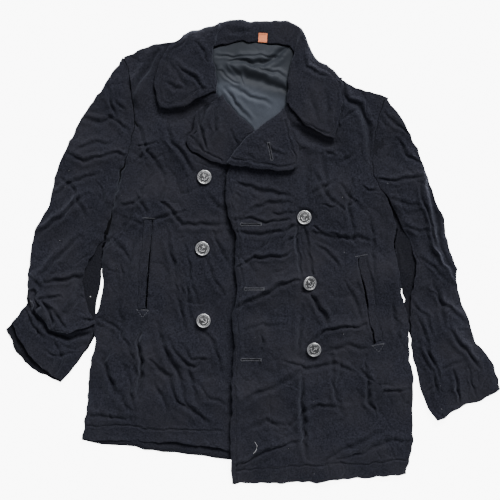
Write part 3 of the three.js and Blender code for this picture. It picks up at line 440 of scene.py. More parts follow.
def satin():
    """Slate lining: fine weave, soft sheen, slight changes of tone, and painted light and shade across the neck."""
    made, tree, shader = material(
        "satin_lining", 0.68, Sheen_Weight=0.06, Sheen_Roughness=0.4, Sheen_Tint=(0.8, 0.88, 1, 1), Specular_IOR_Level=0.25,
    )
    shade = ramp(tree, noise(tree, 22, 3), ((0.3, (0.021, 0.0255, 0.034)), (0.7, (0.036, 0.042, 0.054))))
    threads = ramp(tree, noise(tree, 2400, 1, stretch=(1, 0.12, 1)), ((0.35, (0.8, 0.8, 0.8)), (0.65, (1.12, 1.12, 1.12))))
    # Painted light and shade: the satin colour is multiplied lighter below the neck line and darker above it.
    turned = blend(tree, shade, painted_shade_across_neck(tree), 1.0, "MULTIPLY")
    tree.links.new(blend(tree, turned, threads, 1.0, "MULTIPLY"), shader.inputs["Base Color"])
    bumps(tree, shader, (
        (noise(tree, 60, 3), 0.3, 0.001),
        (noise(tree, 2400, 1, stretch=(0.12, 1, 1)), 0.25, 0.00012),
    ))
    return made


def pewter(name, low, high, roughness):
    """Cast metal, uneven and a little tarnished."""
    made, tree, shader = material(name, roughness, 1.0)
    tree.links.new(ramp(tree, noise(tree, 700, 4), ((0.35, low), (0.68, high))), shader.inputs["Base Color"])
    rough = tree.nodes.new("ShaderNodeMapRange")
    rough.inputs["To Min"].default_value = roughness - 0.1
    rough.inputs["To Max"].default_value = roughness + 0.16
    tree.links.new(noise(tree, 900, 3), rough.inputs["Value"])
    tree.links.new(rough.outputs["Result"], shader.inputs["Roughness"])
    bumps(tree, shader, ((noise(tree, 1300, 3), 0.3, 0.0002),))
    return made


def thread(name, low, high):
    """Twisted sewing thread."""
    made, tree, shader = material(name, 0.8, Sheen_Weight=0.06, Specular_IOR_Level=0.2)
    tree.links.new(ramp(tree, noise(tree, 1400, 2), ((0.3, low), (0.7, high))), shader.inputs["Base Color"])
    bumps(tree, shader, ((noise(tree, 3200, 1, stretch=(1, 1, 0.3)), 0.4, 0.00012),))
    return made


def ribbon():
    """Woven orange ribbon with a fine rib."""
    made, tree, shader = material("tab_ribbon", 0.62, Sheen_Weight=0.15, Specular_IOR_Level=0.3)
    weave = ramp(tree, noise(tree, 1800, 2, stretch=(1, 0.2, 1)), ((0.3, (0.62, 0.16, 0.062)), (0.7, (0.82, 0.27, 0.125))))
    tree.links.new(weave, shader.inputs["Base Color"])
    bumps(tree, shader, ((noise(tree, 1800, 1, stretch=(0.2, 1, 1)), 0.5, 0.0002),))
    return made


FLOOR_GLOW = 8.0


def studio_floor():
    made, tree, shader = material("floor", 0.9, Specular_IOR_Level=0.1)
    shader.inputs["Base Color"].default_value = (0.93, 0.93, 0.93, 1)
    shader.inputs["Emission Color"].default_value = (1, 1, 1, 1)
    shader.inputs["Emission Strength"].default_value = FLOOR_GLOW
    return made


MELTON = melton()
# A darker copy of the melton, as painted shade: for the under-sleeves and the left armhole strip.
PAINTED_SHADE_MELTON = melton("melton_shadow", 0.62)
# A near-black copy of the melton, as painted shadow in the gap along the right armhole seam.
PAINTED_SHADOW_MELTON = melton("melton_painted_shadow", 0.06)
SATIN = satin()
RELIEF = pewter("pewter_relief", (0.34, 0.34, 0.345), (0.72, 0.72, 0.725), 0.38)
FIELD = pewter("pewter_field", (0.03, 0.03, 0.031), (0.17, 0.17, 0.173), 0.48)
SEAM_THREAD = thread("seam_thread", (0.008, 0.0085, 0.013), (0.022, 0.023, 0.032))
HOLE_THREAD = thread("buttonhole_thread", (0.045, 0.046, 0.054), (0.125, 0.128, 0.145))
# Near-black and matte: painted shadow for the slits of the buttonholes and pockets.
PAINTED_SLIT_SHADOW = material("slit_shadow", 1.0, Base_Color=(0.0012, 0.0012, 0.0016, 1), Specular_IOR_Level=0.0)[0]
LINT = thread("lint", (0.3, 0.3, 0.31), (0.6, 0.6, 0.61))
RIBBON = ribbon()


def new_object(name, mesh, look):
    piece = bpy.data.objects.new(name, mesh)
    bpy.context.scene.collection.objects.link(piece)
    for one in look if isinstance(look, (list, tuple)) else [look]:
        mesh.materials.append(one)
    return piece


def mesh_of(name, vertices, faces, look, face_looks=None):
    mesh = bpy.data.meshes.new(name)
    mesh.from_pydata([tuple(v) for v in vertices], [], faces)
    mesh.polygons.foreach_set("use_smooth", [True] * len(faces))
    if face_looks:
        mesh.polygons.foreach_set("material_index", face_looks)
    mesh.update()
    return new_object(name, mesh, look)


def welded(node):
    bm = bmesh.new()
    bm.from_mesh(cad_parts[node].data)
    bmesh.ops.remove_doubles(bm, verts=bm.verts[:], dist=2e-6)
    return bm


def tree_of(nodes):
    """One search tree of several frame nodes."""
    vertices, faces = [], []
    for node in nodes:
        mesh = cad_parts[node].data
        start = len(vertices)
        vertices += [v.co.copy() for v in mesh.vertices]
        faces += [tuple(start + i for i in p.vertices) for p in mesh.polygons]
    return BVHTree.FromPolygons(vertices, faces)


def smoothstep(t):
    t = np.clip(t, 0, 1)
    return t * t * (3 - 2 * t)


# Each piece of cloth is its solid, refined to a smooth fine mesh.
def refine(row):
    node = row["node"]
    bm = welded(node)
    bmesh.ops.join_triangles(
        bm, faces=bm.faces[:], angle_face_threshold=math.radians(42), angle_shape_threshold=math.radians(80),
    )
    bm.normal_update()
    edge_crease = bm.edges.layers.float.new("crease_edge")
    vert_crease = bm.verts.layers.float.new("crease_vert")
    for edge in bm.edges:
        if len(edge.link_faces) == 2 and edge.calc_face_angle() > SHARP:
            edge[edge_crease] = 1.0
    for vert in bm.verts:
        sharp = [e for e in vert.link_edges if e[edge_crease] > 0.5]
        flat = [e.other_vert(vert).co - vert.co for e in sharp]
        flat = [v.normalized() for v in flat if abs(v.normalized().z) < 0.8]
        if len(flat) == 2 and math.pi - flat[0].angle(flat[1]) > CORNER:
            vert[vert_crease] = 1.0
    mesh = bpy.data.meshes.new(node + "_cage")
    bm.to_mesh(mesh)
    bm.free()
    piece = new_object(node + "_cloth", mesh, [])
    smooth = piece.modifiers.new("smooth", "SUBSURF")
    smooth.levels = smooth.render_levels = row["levels"]
    depsgraph = bpy.context.evaluated_depsgraph_get()
    depsgraph.update()
    fine = bpy.data.meshes.new_from_object(piece.evaluated_get(depsgraph))
    piece.modifiers.clear()
    piece.data = fine
    bpy.data.meshes.remove(mesh)
    return piece


def cut_finer(piece, cuts, above):
    """Cuts the upward faces that show into smaller ones, and evens them out."""
    bm = bmesh.new()
    bm.from_mesh(piece.data)
    bm.normal_update()
    chosen = set()
    for face in bm.faces:
        if face.normal.z < 0.35:
            continue
        centre = face.calc_center_median() + Vector((0, 0, 0.0004))
        if above.ray_cast(centre, Vector((0, 0, 1)))[0] is None:
            chosen.add(face)
    edges = [e for e in bm.edges if e.link_faces and all(f in chosen for f in e.link_faces)]
    result = bmesh.ops.subdivide_edges(bm, edges=edges, cuts=cuts, use_grid_fill=True)
    inner = [g for g in result["geom_inner"] if isinstance(g, bmesh.types.BMVert)]
    for _ in range(3):
        bmesh.ops.smooth_vert(bm, verts=inner, factor=0.5, use_axis_x=False, use_axis_y=False, use_axis_z=True)
    bmesh.ops.triangulate(bm, faces=[f for f in bm.faces if len(f.verts) > 4])
    bm.to_mesh(piece.data)
    bm.free()


# Heights of folds, in millimetres, from places in millimetres
WAVE_SETS = table("count shortest longest height", (
    (9, 90, 230, 1.15),
    (12, 38, 80, 0.16),
    (12, 16, 34, 0.09),
))
chance = random.Random(SEED)
WAVES = []
for group in WAVE_SETS:
    for _ in range(group["count"]):
        length = chance.uniform(group["shortest"], group["longest"])
        angle = chance.uniform(0, math.pi)
        WAVES.append((math.cos(angle) / length, math.sin(angle) / length, chance.uniform(0, 1), group["height"]))


def waves(x, y):
    total = np.zeros_like(x)
    for wx, wy, phase, height in WAVES:
        total += height * np.sin(2 * math.pi * (x * wx + y * wy + phase))
    return total


def wandered(x, y):
    """Places moved a little, so that no fold runs straight."""
    along = WANDER * (np.sin(x / 29 + y / 41) + 0.4 * np.sin(x / 12 - y / 15 + 1.7))
    across = WANDER * (np.sin(y / 27 - x / 47 + 0.6) + 0.4 * np.sin(y / 13 + x / 18))
    return x + 0.6 * along, y + 0.6 * across


def fold_height(x, y, folds):
    total = np.zeros_like(x)
    for fold in folds:
        path = fold["path"]
        width = fold["width"] * FOLD_TIGHT
        reach = width * (RIDGE_AT + 3 * FOLD_SPREAD)
        xs = [p[0] for p in path]
        ys = [p[1] for p in path]
        near = (x > min(xs) - reach) & (x < max(xs) + reach) & (y > min(ys) - reach) & (y < max(ys) + reach)
        if not near.any():
            continue
        px, py = x[near], y[near]
        lengths = [math.dist(a, b) for a, b in zip(path, path[1:])]
        whole = sum(lengths)
        best = np.full(px.shape, 1e9)
        signed = np.zeros(px.shape)
        along = np.zeros(px.shape)
        done = 0.0
        for (ax, ay), (bx, by), length in zip(path, path[1:], lengths):
            ux, uy = (bx - ax) / length, (by - ay) / length
            t = np.clip((px - ax) * ux + (py - ay) * uy, 0, length)
            dx, dy = px - ax - t * ux, py - ay - t * uy
            away = np.hypot(dx, dy)
            closer = away < best
            side = np.sign(ux * dy - uy * dx)
            best = np.where(closer, away, best)
            signed = np.where(closer, away * side, signed)
            along = np.where(closer, (done + t) / whole, along)
            done += length
        ends = np.sin(np.clip(along, 0.02, 0.98) * math.pi) ** END_POWER
        narrow = width * (0.75 + 0.25 * ends)
        s = signed / narrow
        shape = -fold["deep"] * np.exp(-s * s)
        shape += fold["left"] * np.exp(-(((s - RIDGE_AT) / FOLD_SPREAD) ** 2))
        shape += fold["right"] * np.exp(-(((s + RIDGE_AT) / FOLD_SPREAD) ** 2))
        beyond = np.exp(-((np.maximum(0, best - np.abs(signed)) / width) ** 2))
        total[near] += FOLD_GAIN * shape * ends * beyond
    return total


# Crumples: grooves that wander where a smooth random field crosses zero, in patches
CRUMPLES = table("count shortest longest deep sharp patch", (
    (7, 55, 120, 1.2, 0.17, 130),
    (8, 26, 60, 0.8, 0.24, 90),
))
FIELDS = []
for group in CRUMPLES:
    crease, patch = [], []
    for _ in range(group["count"]):
        length = chance.uniform(group["shortest"], group["longest"])
        angle = chance.uniform(0, math.pi)
        crease.append((math.cos(angle) / length, math.sin(angle) / length, chance.uniform(0, 1)))
        length = group["patch"] * chance.uniform(0.7, 1.5)
        angle = chance.uniform(0, math.pi)
        patch.append((math.cos(angle) / length, math.sin(angle) / length, chance.uniform(0, 1)))
    FIELDS.append((crease, patch, group["deep"], group["sharp"]))


def field(x, y, terms):
    total = np.zeros_like(x)
    for wx, wy, phase in terms:
        total += np.sin(2 * math.pi * (x * wx + y * wy + phase))
    return total / math.sqrt(len(terms) / 2)


def crumples(x, y):
    total = np.zeros_like(x)
    for crease, patch, deep, sharp in FIELDS:
        value = field(x, y, crease)
        where = smoothstep(0.5 + 0.55 * field(x, y, patch))
        groove = -np.exp(-((value / sharp) ** 2))
        facet = 0.5 * np.tanh(np.abs(value))
        total += deep * where * (groove + facet)
    return total


# Stitched lines: a path along an edge, and how far inside it the stitches run, to the left of the path
RUNS = table("piece inset path", (
    ("collar_upper", 8, (
        (-122, 383), (-151, 360), (-167, 315), (-174, 272), (-169, 259), (-157, 252), (-119, 261), (-77, 281),
    )),
    ("collar_upper", -8, ((164, 304), (163, 265), (157, 211), (144, 198), (124, 205), (97, 221), (77, 231))),
    ("facing_left", -8, ((72, 232), (81, 198), (88, 162), (86, 148), (61, 140), (27, 145), (-36, 160))),
    ("facing_right", 8, (
        (-86, 270), (-97, 254), (-101, 236), (-99, 220), (-117, 198), (-115, 187), (-86, 169), (-54, 157),
    )),
    ("front_left", 8, (
        (-48, 144), (-50, 128), (-47, 108), (-40, 90), (-34, 38), (-25, 11), (-29, -16), (-23, -61), (-26, -88),
        (-32, -155), (-34, -280), (-34, -373), (-35, -412),
    )),
    ("front_left", 0, ((-24, -396), (0, -396), (58, -389), (144, -385), (202, -385), (243, -380), (283, -376))),
    ("front_right", 0, ((-300, -317), (-220, -317), (-164, -322), (-77, -326), (-38, -328))),
))
PITCH = 3.6
STITCH = (2.7, 0.42, 0.34)


def place(xy):
    return Vector((xy[0] * MM + SPREAD.x, xy[1] * MM + SPREAD.y))


def resampled(points, pitch):
    """Places at even spacing along a line of points."""
    lengths = [0.0]
    for a, b in zip(points, points[1:]):
        lengths.append(lengths[-1] + (b - a).length)
    count = max(2, int(lengths[-1] / pitch))
    result = []
    k = 0
    for i in range(count + 1):
        target = lengths[-1] * i / count
        while k + 2 < len(lengths) and lengths[k + 1] < target:
            k += 1
        span = max(lengths[k + 1] - lengths[k], 1e-9)
        result.append(points[k].lerp(points[k + 1], (target - lengths[k]) / span))
    return result


def inset_line(path, inset):
    """The path moved to its left, with its corners kept as corners."""
    points = [place(p) for p in path]
    if not inset:
        return points
    sides = []
    for a, b in zip(points, points[1:]):
        along = (b - a).normalized()
        sides.append(Vector((-along.y, along.x)))
    moved = [points[0] + sides[0] * inset * MM]
    for p, before, after in zip(points[1:], sides, sides[1:]):
        middle = (before + after).normalized()
        moved.append(p + middle * inset * MM / middle.dot(after))
    moved.append(points[-1] + sides[-1] * inset * MM)
    return moved


# The places of each button, pocket, buttonhole and tack
BUTTONS = table("node tilt_x tilt_y turn", (
    ("button_1", 0.0, 0.0, 0.3),
    ("button_2", 0.0, 0.0, -0.5),
    ("button_3", 0.0, 0.0, 0.9),
    ("button_4", 0.0, 0.0, -0.2),
    ("button_5", 0.2, 0.42, 0.6),
    ("button_6", 0.18, 0.0, -0.9),
))
BUTTONHOLES = table("piece eye tail", (
    ("front_left", (-15, 46), (20, 46)),
    ("front_left", (-8, -70), (25, -70)),
    ("front_left", (-14, -197), (20, -197)),
    ("facing_left", (39, 163), (33, 192)),
))
POCKETS = table("piece welt top foot", (
    ("front_right", "pocket_welt_right", (-177, 54), (-188, -105)),
    ("front_left", "pocket_welt_left", (196, -14), (225, -168)),
))


def calm_near_buttons(x, y):
    """1 away from the buttons and 0 under them, where the sewn shank holds the cloth down."""
    calm = np.ones_like(x)
    for button in BUTTONS:
        low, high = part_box(button["node"])
        cx, cy = (low[0] + high[0]) / 2, (low[1] + high[1]) / 2
        away = np.hypot(x - cx, y - cy)
        calm *= smoothstep((away - BUTTON_CALM[0]) / (BUTTON_CALM[1] - BUTTON_CALM[0]))
    return calm


def neighbours_mean(values, edges, count):
    total = np.bincount(edges[:, 0], values[edges[:, 1]], count)
    total += np.bincount(edges[:, 1], values[edges[:, 0]], count)
    degree = np.bincount(edges[:, 0], minlength=count) + np.bincount(edges[:, 1], minlength=count)
    return total / np.maximum(degree, 1)


GROOVES = {"deep": 1.6, "width": 1.6, "lip": 0.9, "lip_at": 4.0}


def groove_height(x, y, lines):
    """A narrow groove along each stitched line, with the cloth puffed beside it."""
    points = [p for line in lines for p in resampled(line, 0.0015)]
    if not points:
        return np.zeros_like(x)
    tree = KDTree(len(points))
    for i, p in enumerate(points):
        tree.insert((p.x, p.y, 0), i)
    tree.balance()
    away = np.array([tree.find((px, py, 0))[2] for px, py in zip(x, y)]) / MM
    groove = -GROOVES["deep"] * np.exp(-((away / GROOVES["width"]) ** 2))
    lip = GROOVES["lip"] * np.exp(-(((away - GROOVES["lip_at"]) / (1.6 * GROOVES["width"])) ** 2))
    return groove + lip


# Pushes: cloth that spreads sideways on the surface, where the lower layer shows between sleeve and body
PUSHES = table("pieces at reach move", (
    (("sleeve_under_left",), (258, 62), (30, 46), (-8, 0)),
    (("sleeve_under_left",), (272, -22), (26, 42), (-6, 0)),
    (("sleeve_under_left",), (286, -120), (24, 24), (-9, 0)),
    (("back_left",), (268, 30), (24, 90), (3, 0)),
    (("collar_upper", "collar_under"), (167, 313), (14, 12), (-5, -4)),
    (("sleeve_under_right", "sleeve_top_right"), (-248, 84), (30, 40), (4, 0)),
    (("sleeve_under_right", "sleeve_top_right"), (-266, 20), (30, 36), (7, 0)),
    (("sleeve_under_right", "sleeve_top_right"), (-272, -44), (26, 34), (4, 0)),
    (("sleeve_under_right", "sleeve_top_right"), (-280, -134), (26, 24), (7, 0)),
    (("back_right", "front_right"), (-276, -134), (26, 24), (-7, 0)),
))
RAGGED = table("count shortest longest far", (
    (5, 60, 120, 1.5),
    (6, 18, 45, 1.0),
))
SIDEWAYS = []
for group in RAGGED:
    for direction in (0, 1):
        for _ in range(group["count"]):
            length = chance.uniform(group["shortest"], group["longest"])
            angle = chance.uniform(0, math.pi)
            far = group["far"] * 1.4 / math.sqrt(group["count"])
            wave = (math.cos(angle) / length, math.sin(angle) / length, chance.uniform(0, 1))
            SIDEWAYS.append((direction, far, wave))


def spread(piece_name, x, y):
    """Sideways moves: the pushes, and the small unevenness of every edge, the same for all layers."""
    dx, dy = np.zeros_like(x), np.zeros_like(y)
    for direction, far, (wx, wy, phase) in SIDEWAYS:
        moved = far * np.sin(2 * math.pi * (x * wx + y * wy + phase))
        if direction == 0:
            dx += moved
        else:
            dy += moved
    for push in PUSHES:
        if piece_name in push["pieces"]:
            far = ((x - push["at"][0]) / push["reach"][0]) ** 2 + ((y - push["at"][1]) / push["reach"][1]) ** 2
            near = np.exp(-far * far)
            dx += push["move"][0] * near
            dy += push["move"][1] * near
    return dx, dy


def drape(piece, row, lines, above):
    """Moves the piece's points up and down by its folds, waves and stitched grooves."""
    mesh = piece.data
    count = len(mesh.vertices)
    co = np.empty(count * 3)
    mesh.vertices.foreach_get("co", co)
    co = co.reshape(-1, 3)
    normals = np.empty(count * 3)
    mesh.vertices.foreach_get("normal", normals)
    facing = normals.reshape(-1, 3)[:, 2]
    edges = np.empty(len(mesh.edges) * 2, dtype=np.int64)
    mesh.edges.foreach_get("vertices", edges)
    edges = edges.reshape(-1, 2)
    x = (co[:, 0] - SPREAD.x) / MM
    y = (co[:, 1] - SPREAD.y) / MM
    up = Vector((0, 0, 1))
    room = np.full(count, 1.0)
    for i in range(count):
        start = Vector((co[i, 0], co[i, 1], co[i, 2] + (0.0003 if facing[i] > 0 else WOOL + 0.0003)))
        hit = above.ray_cast(start, up)
        if hit[0] is not None:
            room[i] = hit[3]
    mask = smoothstep((room - 0.0005) / COVER_FADE)
    for _ in range(14):
        mask = np.minimum(mask, 0.5 * mask + 0.5 * neighbours_mean(mask, edges, count))
    wx, wy = wandered(x, y)
    folds = fold_height(wx, wy, FOLDS.get(row["node"], ()))
    height = folds + row["waves"] * (waves(x, y) + crumples(wx, wy)) + PUFF * row["lies"]
    height = np.where(height > 0, height, DEEPEST * np.tanh(height / DEEPEST))
    calm = calm_near_buttons(co[:, 0], co[:, 1])
    height = calm * np.where(height > 0, height * mask, height)
    height += groove_height(co[:, 0], co[:, 1], lines)
    if row["lies"] == 0.0:
        height = np.maximum(height, 0) * smoothstep((facing - 0.1) / 0.6)
    dx, dy = spread(row["node"], x, y)
    co[:, 0] += dx * calm * MM
    co[:, 1] += dy * calm * MM
    co[:, 2] = np.maximum(co[:, 2] + height * MM, 0.0)
    mesh.vertices.foreach_set("co", co.reshape(-1))
    mesh.polygons.foreach_set("use_smooth", [True] * len(mesh.polygons))
    mesh.update()


def cast_down(tree, xy):
    """Where a line straight down meets the cloth: the place and its normal."""
    hit = tree.ray_cast(Vector((xy[0], xy[1], 0.2)), Vector((0, 0, -1)))
    if hit[0] is None:
        return None
    return hit[0], hit[1] if hit[1].z > 0 else -hit[1]


def surface_tree(piece):
    bm = bmesh.new()
    bm.from_mesh(piece.data)
    tree = BVHTree.FromBMesh(bm)
    bm.free()
    return tree


# Sewing
class Threads:
    """Many short threads gathered into one mesh."""

    SIDES = 5
    RINGS = ((-1.0, 0.35), (-0.72, 0.95), (0.0, 1.0), (0.72, 0.95), (1.0, 0.35))

    def __init__(self):
        self.vertices = []
        self.faces = []

    def add(self, centre, along, normal, length, width, height):
        along = (along - normal * along.dot(normal)).normalized()
        side = normal.cross(along)
        start = len(self.vertices)
        for t, size in self.RINGS:
            middle = centre + along * (t * length / 2)
            for k in range(self.SIDES):
                angle = 2 * math.pi * k / self.SIDES
                offset = side * math.cos(angle) * width * size + normal * math.sin(angle) * height * size
                self.vertices.append(middle + offset)
        last = len(self.RINGS) - 1
        for r in range(last):
            for k in range(self.SIDES):
                a = start + r * self.SIDES + k
                b = start + r * self.SIDES + (k + 1) % self.SIDES
                self.faces.append((a, b, b + self.SIDES, a + self.SIDES))
        self.faces.append(tuple(start + k for k in reversed(range(self.SIDES))))
        self.faces.append(tuple(start + last * self.SIDES + k for k in range(self.SIDES)))

    def follow(self, line, tree, pitch=PITCH * MM, size=STITCH):
        """Running stitches along a flat line, pressed onto the cloth."""
        length, width, height = (v * MM for v in size)
        places = resampled(line, pitch)
        for a, b in zip(places, places[1:]):
            hit = cast_down(tree, (a + b) / 2)
            if hit is None:
                continue
            along = Vector((b.x - a.x, b.y - a.y, 0))
            self.add(hit[0] + hit[1] * height * 0.5, along, hit[1], length, width, height)

    def bar(self, a, b, tree, across, count, size):
        """Satin stitches side by side from a to b, each across wide."""
        length, width, height = (v * MM for v in size)
        for i in range(count):
            p = a.lerp(b, i / (count - 1))
            hit = cast_down(tree, p)
            if hit is None:
                continue
            self.add(hit[0] + hit[1] * height * 0.6, across, hit[1], length, width, height)

    def made(self, name, look):
        return mesh_of(name, self.vertices, self.faces, look)


def rides(piece, slot, *replaced):
    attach(piece, "root")
    if replaced:
        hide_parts(*replaced)
    return piece


# Cloth
# The under-sleeves take the darker melton: painted shade where they lie low between sleeve and body.
LOOKS = {"lining_neck": SATIN, "sleeve_under_left": PAINTED_SHADE_MELTON, "sleeve_under_right": PAINTED_SHADE_MELTON}
solids = [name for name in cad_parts]
cloth = {}
lines_of = {}
for row in CLOTH:
    node = row["node"]
    own = next((group for group in GROUPS if node in group), {node})
    above = tree_of([name for name in solids if name not in own])
    piece = refine(row)
    lines = [inset_line(run["path"], run["inset"]) for run in RUNS if run["piece"] == node]
    if row["fine"]:
        cut_finer(piece, row["fine"], above)
    lines_of[node] = lines
    drape(piece, row, lines, above)
    cloth[node] = piece
    look = LOOKS.get(node, MELTON)
    piece.data.materials.clear()
    piece.data.materials.append(look)
    rides(piece, "satin_lining" if node == "lining_neck" else "melton", node)

surfaces = {node: surface_tree(piece) for node, piece in cloth.items()}

# Seam allowances: the turned-in edges that lie under the two armhole seams. Where they show in the seam gaps they are
# coloured as painted shadow: near-black on the right, darker on the left.
ALLOWANCE_WIDTH = 13.0
ARMHOLES = table("side height look path", (
    ("right", 4.2, PAINTED_SHADOW_MELTON, (
        (-226, 345), (-212, 313), (-206, 241), (-211, 182), (-227, 144), (-245, 92), (-262, 30),
    )),
    ("left", 2.95, PAINTED_SHADE_MELTON, ((243, 276), (227, 227), (222, 167), (227, 119), (249, 88), (262, 60))),
))
for seam in ARMHOLES:
    line = resampled([place(p) for p in seam["path"]], 0.008)
    vertices, faces = [], []
    for i, p in enumerate(line):
        ahead = (line[min(i + 1, len(line) - 1)] - line[max(i - 1, 0)]).normalized()
        out = Vector((-ahead.y, ahead.x)) * ALLOWANCE_WIDTH * MM / 2
        vertices += [(*(p + out), seam["height"] * MM), (*(p - out), seam["height"] * MM)]
        if i:
            faces.append((2 * i - 2, 2 * i - 1, 2 * i + 1, 2 * i))
    rides(mesh_of("armhole_allowance_" + seam["side"], vertices, faces, seam["look"]), "melton")

# Top stitching
for node, lines in lines_of.items():
    if not lines:
        continue
    threads = Threads()
    for line in lines:
        threads.follow(line, surfaces[node])
    rides(threads.made("stitching_" + node, SEAM_THREAD), "melton")

# Buttonholes: a near-black strip as painted shadow for the slit, in a ring of purl stitches, with a round eye at its
# front end
HOLE = {"eye": 2.6, "half": 1.8, "stitch": (1.5, 0.34, 0.42), "pitch": 0.9, "slit": 0.5}


def keyhole(eye, tail):
    """Outline of a keyhole round its slit, as places with their outward directions."""
    axis = (eye - tail).normalized()
    side = Vector((-axis.y, axis.x))
    outline = []
    straight = resampled([tail + side * HOLE["half"] * MM, eye + side * HOLE["half"] * MM - axis * 0.002], HOLE["pitch"] * MM)
    outline += [(p, side) for p in straight]
    for k in range(13):
        angle = math.radians(125 - 250 * k / 12)
        out = axis * math.cos(angle) + side * math.sin(angle)
        outline.append((eye + out * HOLE["eye"] * MM, out))
    straight = resampled([eye - side * HOLE["half"] * MM - axis * 0.002, tail - side * HOLE["half"] * MM], HOLE["pitch"] * MM)
    outline += [(p, -side) for p in straight]
    return outline


holes = Threads()
slits = Threads()
for hole in BUTTONHOLES:
    tree = surfaces[hole["piece"]]
    eye, tail = place(hole["eye"]), place(hole["tail"])
    for p, out in keyhole(eye, tail):
        hit = cast_down(tree, p)
        size = [v * MM for v in HOLE["stitch"]]
        holes.add(hit[0] + hit[1] * size[2] * 0.5, Vector((out.x, out.y, 0)), hit[1], *size)
    for p in resampled([eye, tail], 0.0014):
        hit = cast_down(tree, p)
        slits.add(hit[0], Vector((eye.x - tail.x, eye.y - tail.y, 0)), hit[1], 0.0018, HOLE["slit"] * MM, 0.00012)
    hit = cast_down(tree, tail)
    side = Vector((tail.y - eye.y, eye.x - tail.x)).normalized()
    holes.bar(tail - side * 0.0022, tail + side * 0.0022, tree, Vector((eye.x - tail.x, eye.y - tail.y, 0)), 6, (2.2, 0.4, 0.45))
rides(holes.made("buttonhole_stitches", HOLE_THREAD), "melton")
rides(slits.made("buttonhole_slits", PAINTED_SLIT_SHADOW), "melton")

# Pockets: a near-black strip as painted shadow for the slit, its stitched outline and the tacks at both of its ends
SLIT = {"width": 2.2, "outline": 3.2, "welt": 14.0, "tack": 8.5}
pockets = Threads()
tacks = Threads()
mouths = Threads()
for pocket in POCKETS:
    tree = surfaces[pocket["piece"]]
    welt = surfaces[pocket["welt"]]
    top, foot = place(pocket["top"]), place(pocket["foot"])
    axis = (foot - top).normalized()
    inward = Vector((-axis.y, axis.x))
    low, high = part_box(pocket["welt"])
    if inward.dot(Vector(((low[0] + high[0]) / 2, (low[1] + high[1]) / 2)) - (top + foot) / 2) > 0:
        inward = -inward
    edge = [top + inward * 0.0011, foot + inward * 0.0011]
    for a, b in zip(resampled(edge, 0.004), resampled(edge, 0.004)[1:]):
        hit = cast_down(tree, (a + b) / 2)
        mouths.add(hit[0] + hit[1] * 0.0002, Vector((b.x - a.x, b.y - a.y, 0)), hit[1], 0.0044, SLIT["width"] * MM, 0.0002)
    outline = [top + inward * SLIT["outline"] * MM, foot + inward * SLIT["outline"] * MM]
    pockets.follow(outline, tree)
    pockets.follow([top - inward * 0.0022, foot - inward * 0.0022], welt)
    pockets.follow([top - inward * 0.0118, foot - inward * 0.0118], welt)
    for end, out in ((top, -1), (foot, 1)):
        a = end + inward * 0.006 + axis * out * 0.003
        b = end - inward * 0.0155 + axis * out * 0.003
        tacks.bar(a, b, tree, Vector((axis.x, axis.y, 0)), 24, (1.9, 0.3, 0.4))
    apex = foot + axis * 0.0165 - inward * 0.004
    for corner in (foot + inward * 0.006 + axis * 0.003, foot - inward * 0.0155 + axis * 0.003):
        tacks.follow([corner, apex], tree)
rides(pockets.made("pocket_stitches", SEAM_THREAD), "melton")
rides(tacks.made("pocket_tacks", HOLE_THREAD), "melton")
rides(mouths.made("pocket_slits", PAINTED_SLIT_SHADOW), "melton")


# Buttons: a turned disc with a raised rim, a rope ring and a plain anchor
DISC = table("radius height", (
    (0, 0), (3.0, 0), (3.4, 0.3), (3.0, 1.6), (3.3, 2.9), (8, 3.3), (11.4, 3.6), (12.5, 4.3), (12.8, 5.1),
    (12.6, 5.9), (12.0, 6.3), (11.3, 6.35), (10.8, 6.0), (10.4, 5.75), (8.5, 6.05), (6, 6.35), (3, 6.6), (0, 6.65),
))
DISC_SIDES = 56
ROPE = {"radius": 9.3, "count": 34, "length": 2.0, "width": 0.5, "slant": 0.75, "height": 5.95}
ANCHOR_LINES = table("width path", (
    (0.62, ((0, 4.2), (0, 1.5), (0, -1.8), (0, -5.3))),
    (0.5, ((-2.9, 3.3), (0, 3.3), (2.9, 3.3))),
    (0.66, ((-4.9, -1.9), (-4.2, -3.6), (-2.4, -5.0), (0, -5.6), (2.4, -5.0), (4.2, -3.6), (4.9, -1.9))),
    (0.6, ((-5.9, -3.0), (-4.9, -1.5), (-3.6, -2.3))),
    (0.6, ((5.9, -3.0), (4.9, -1.5), (3.6, -2.3))),
))
ANCHOR_RING = {"y": 5.4, "radius": 1.15, "width": 0.36, "count": 12}
ANCHOR_LIFT = 6.75


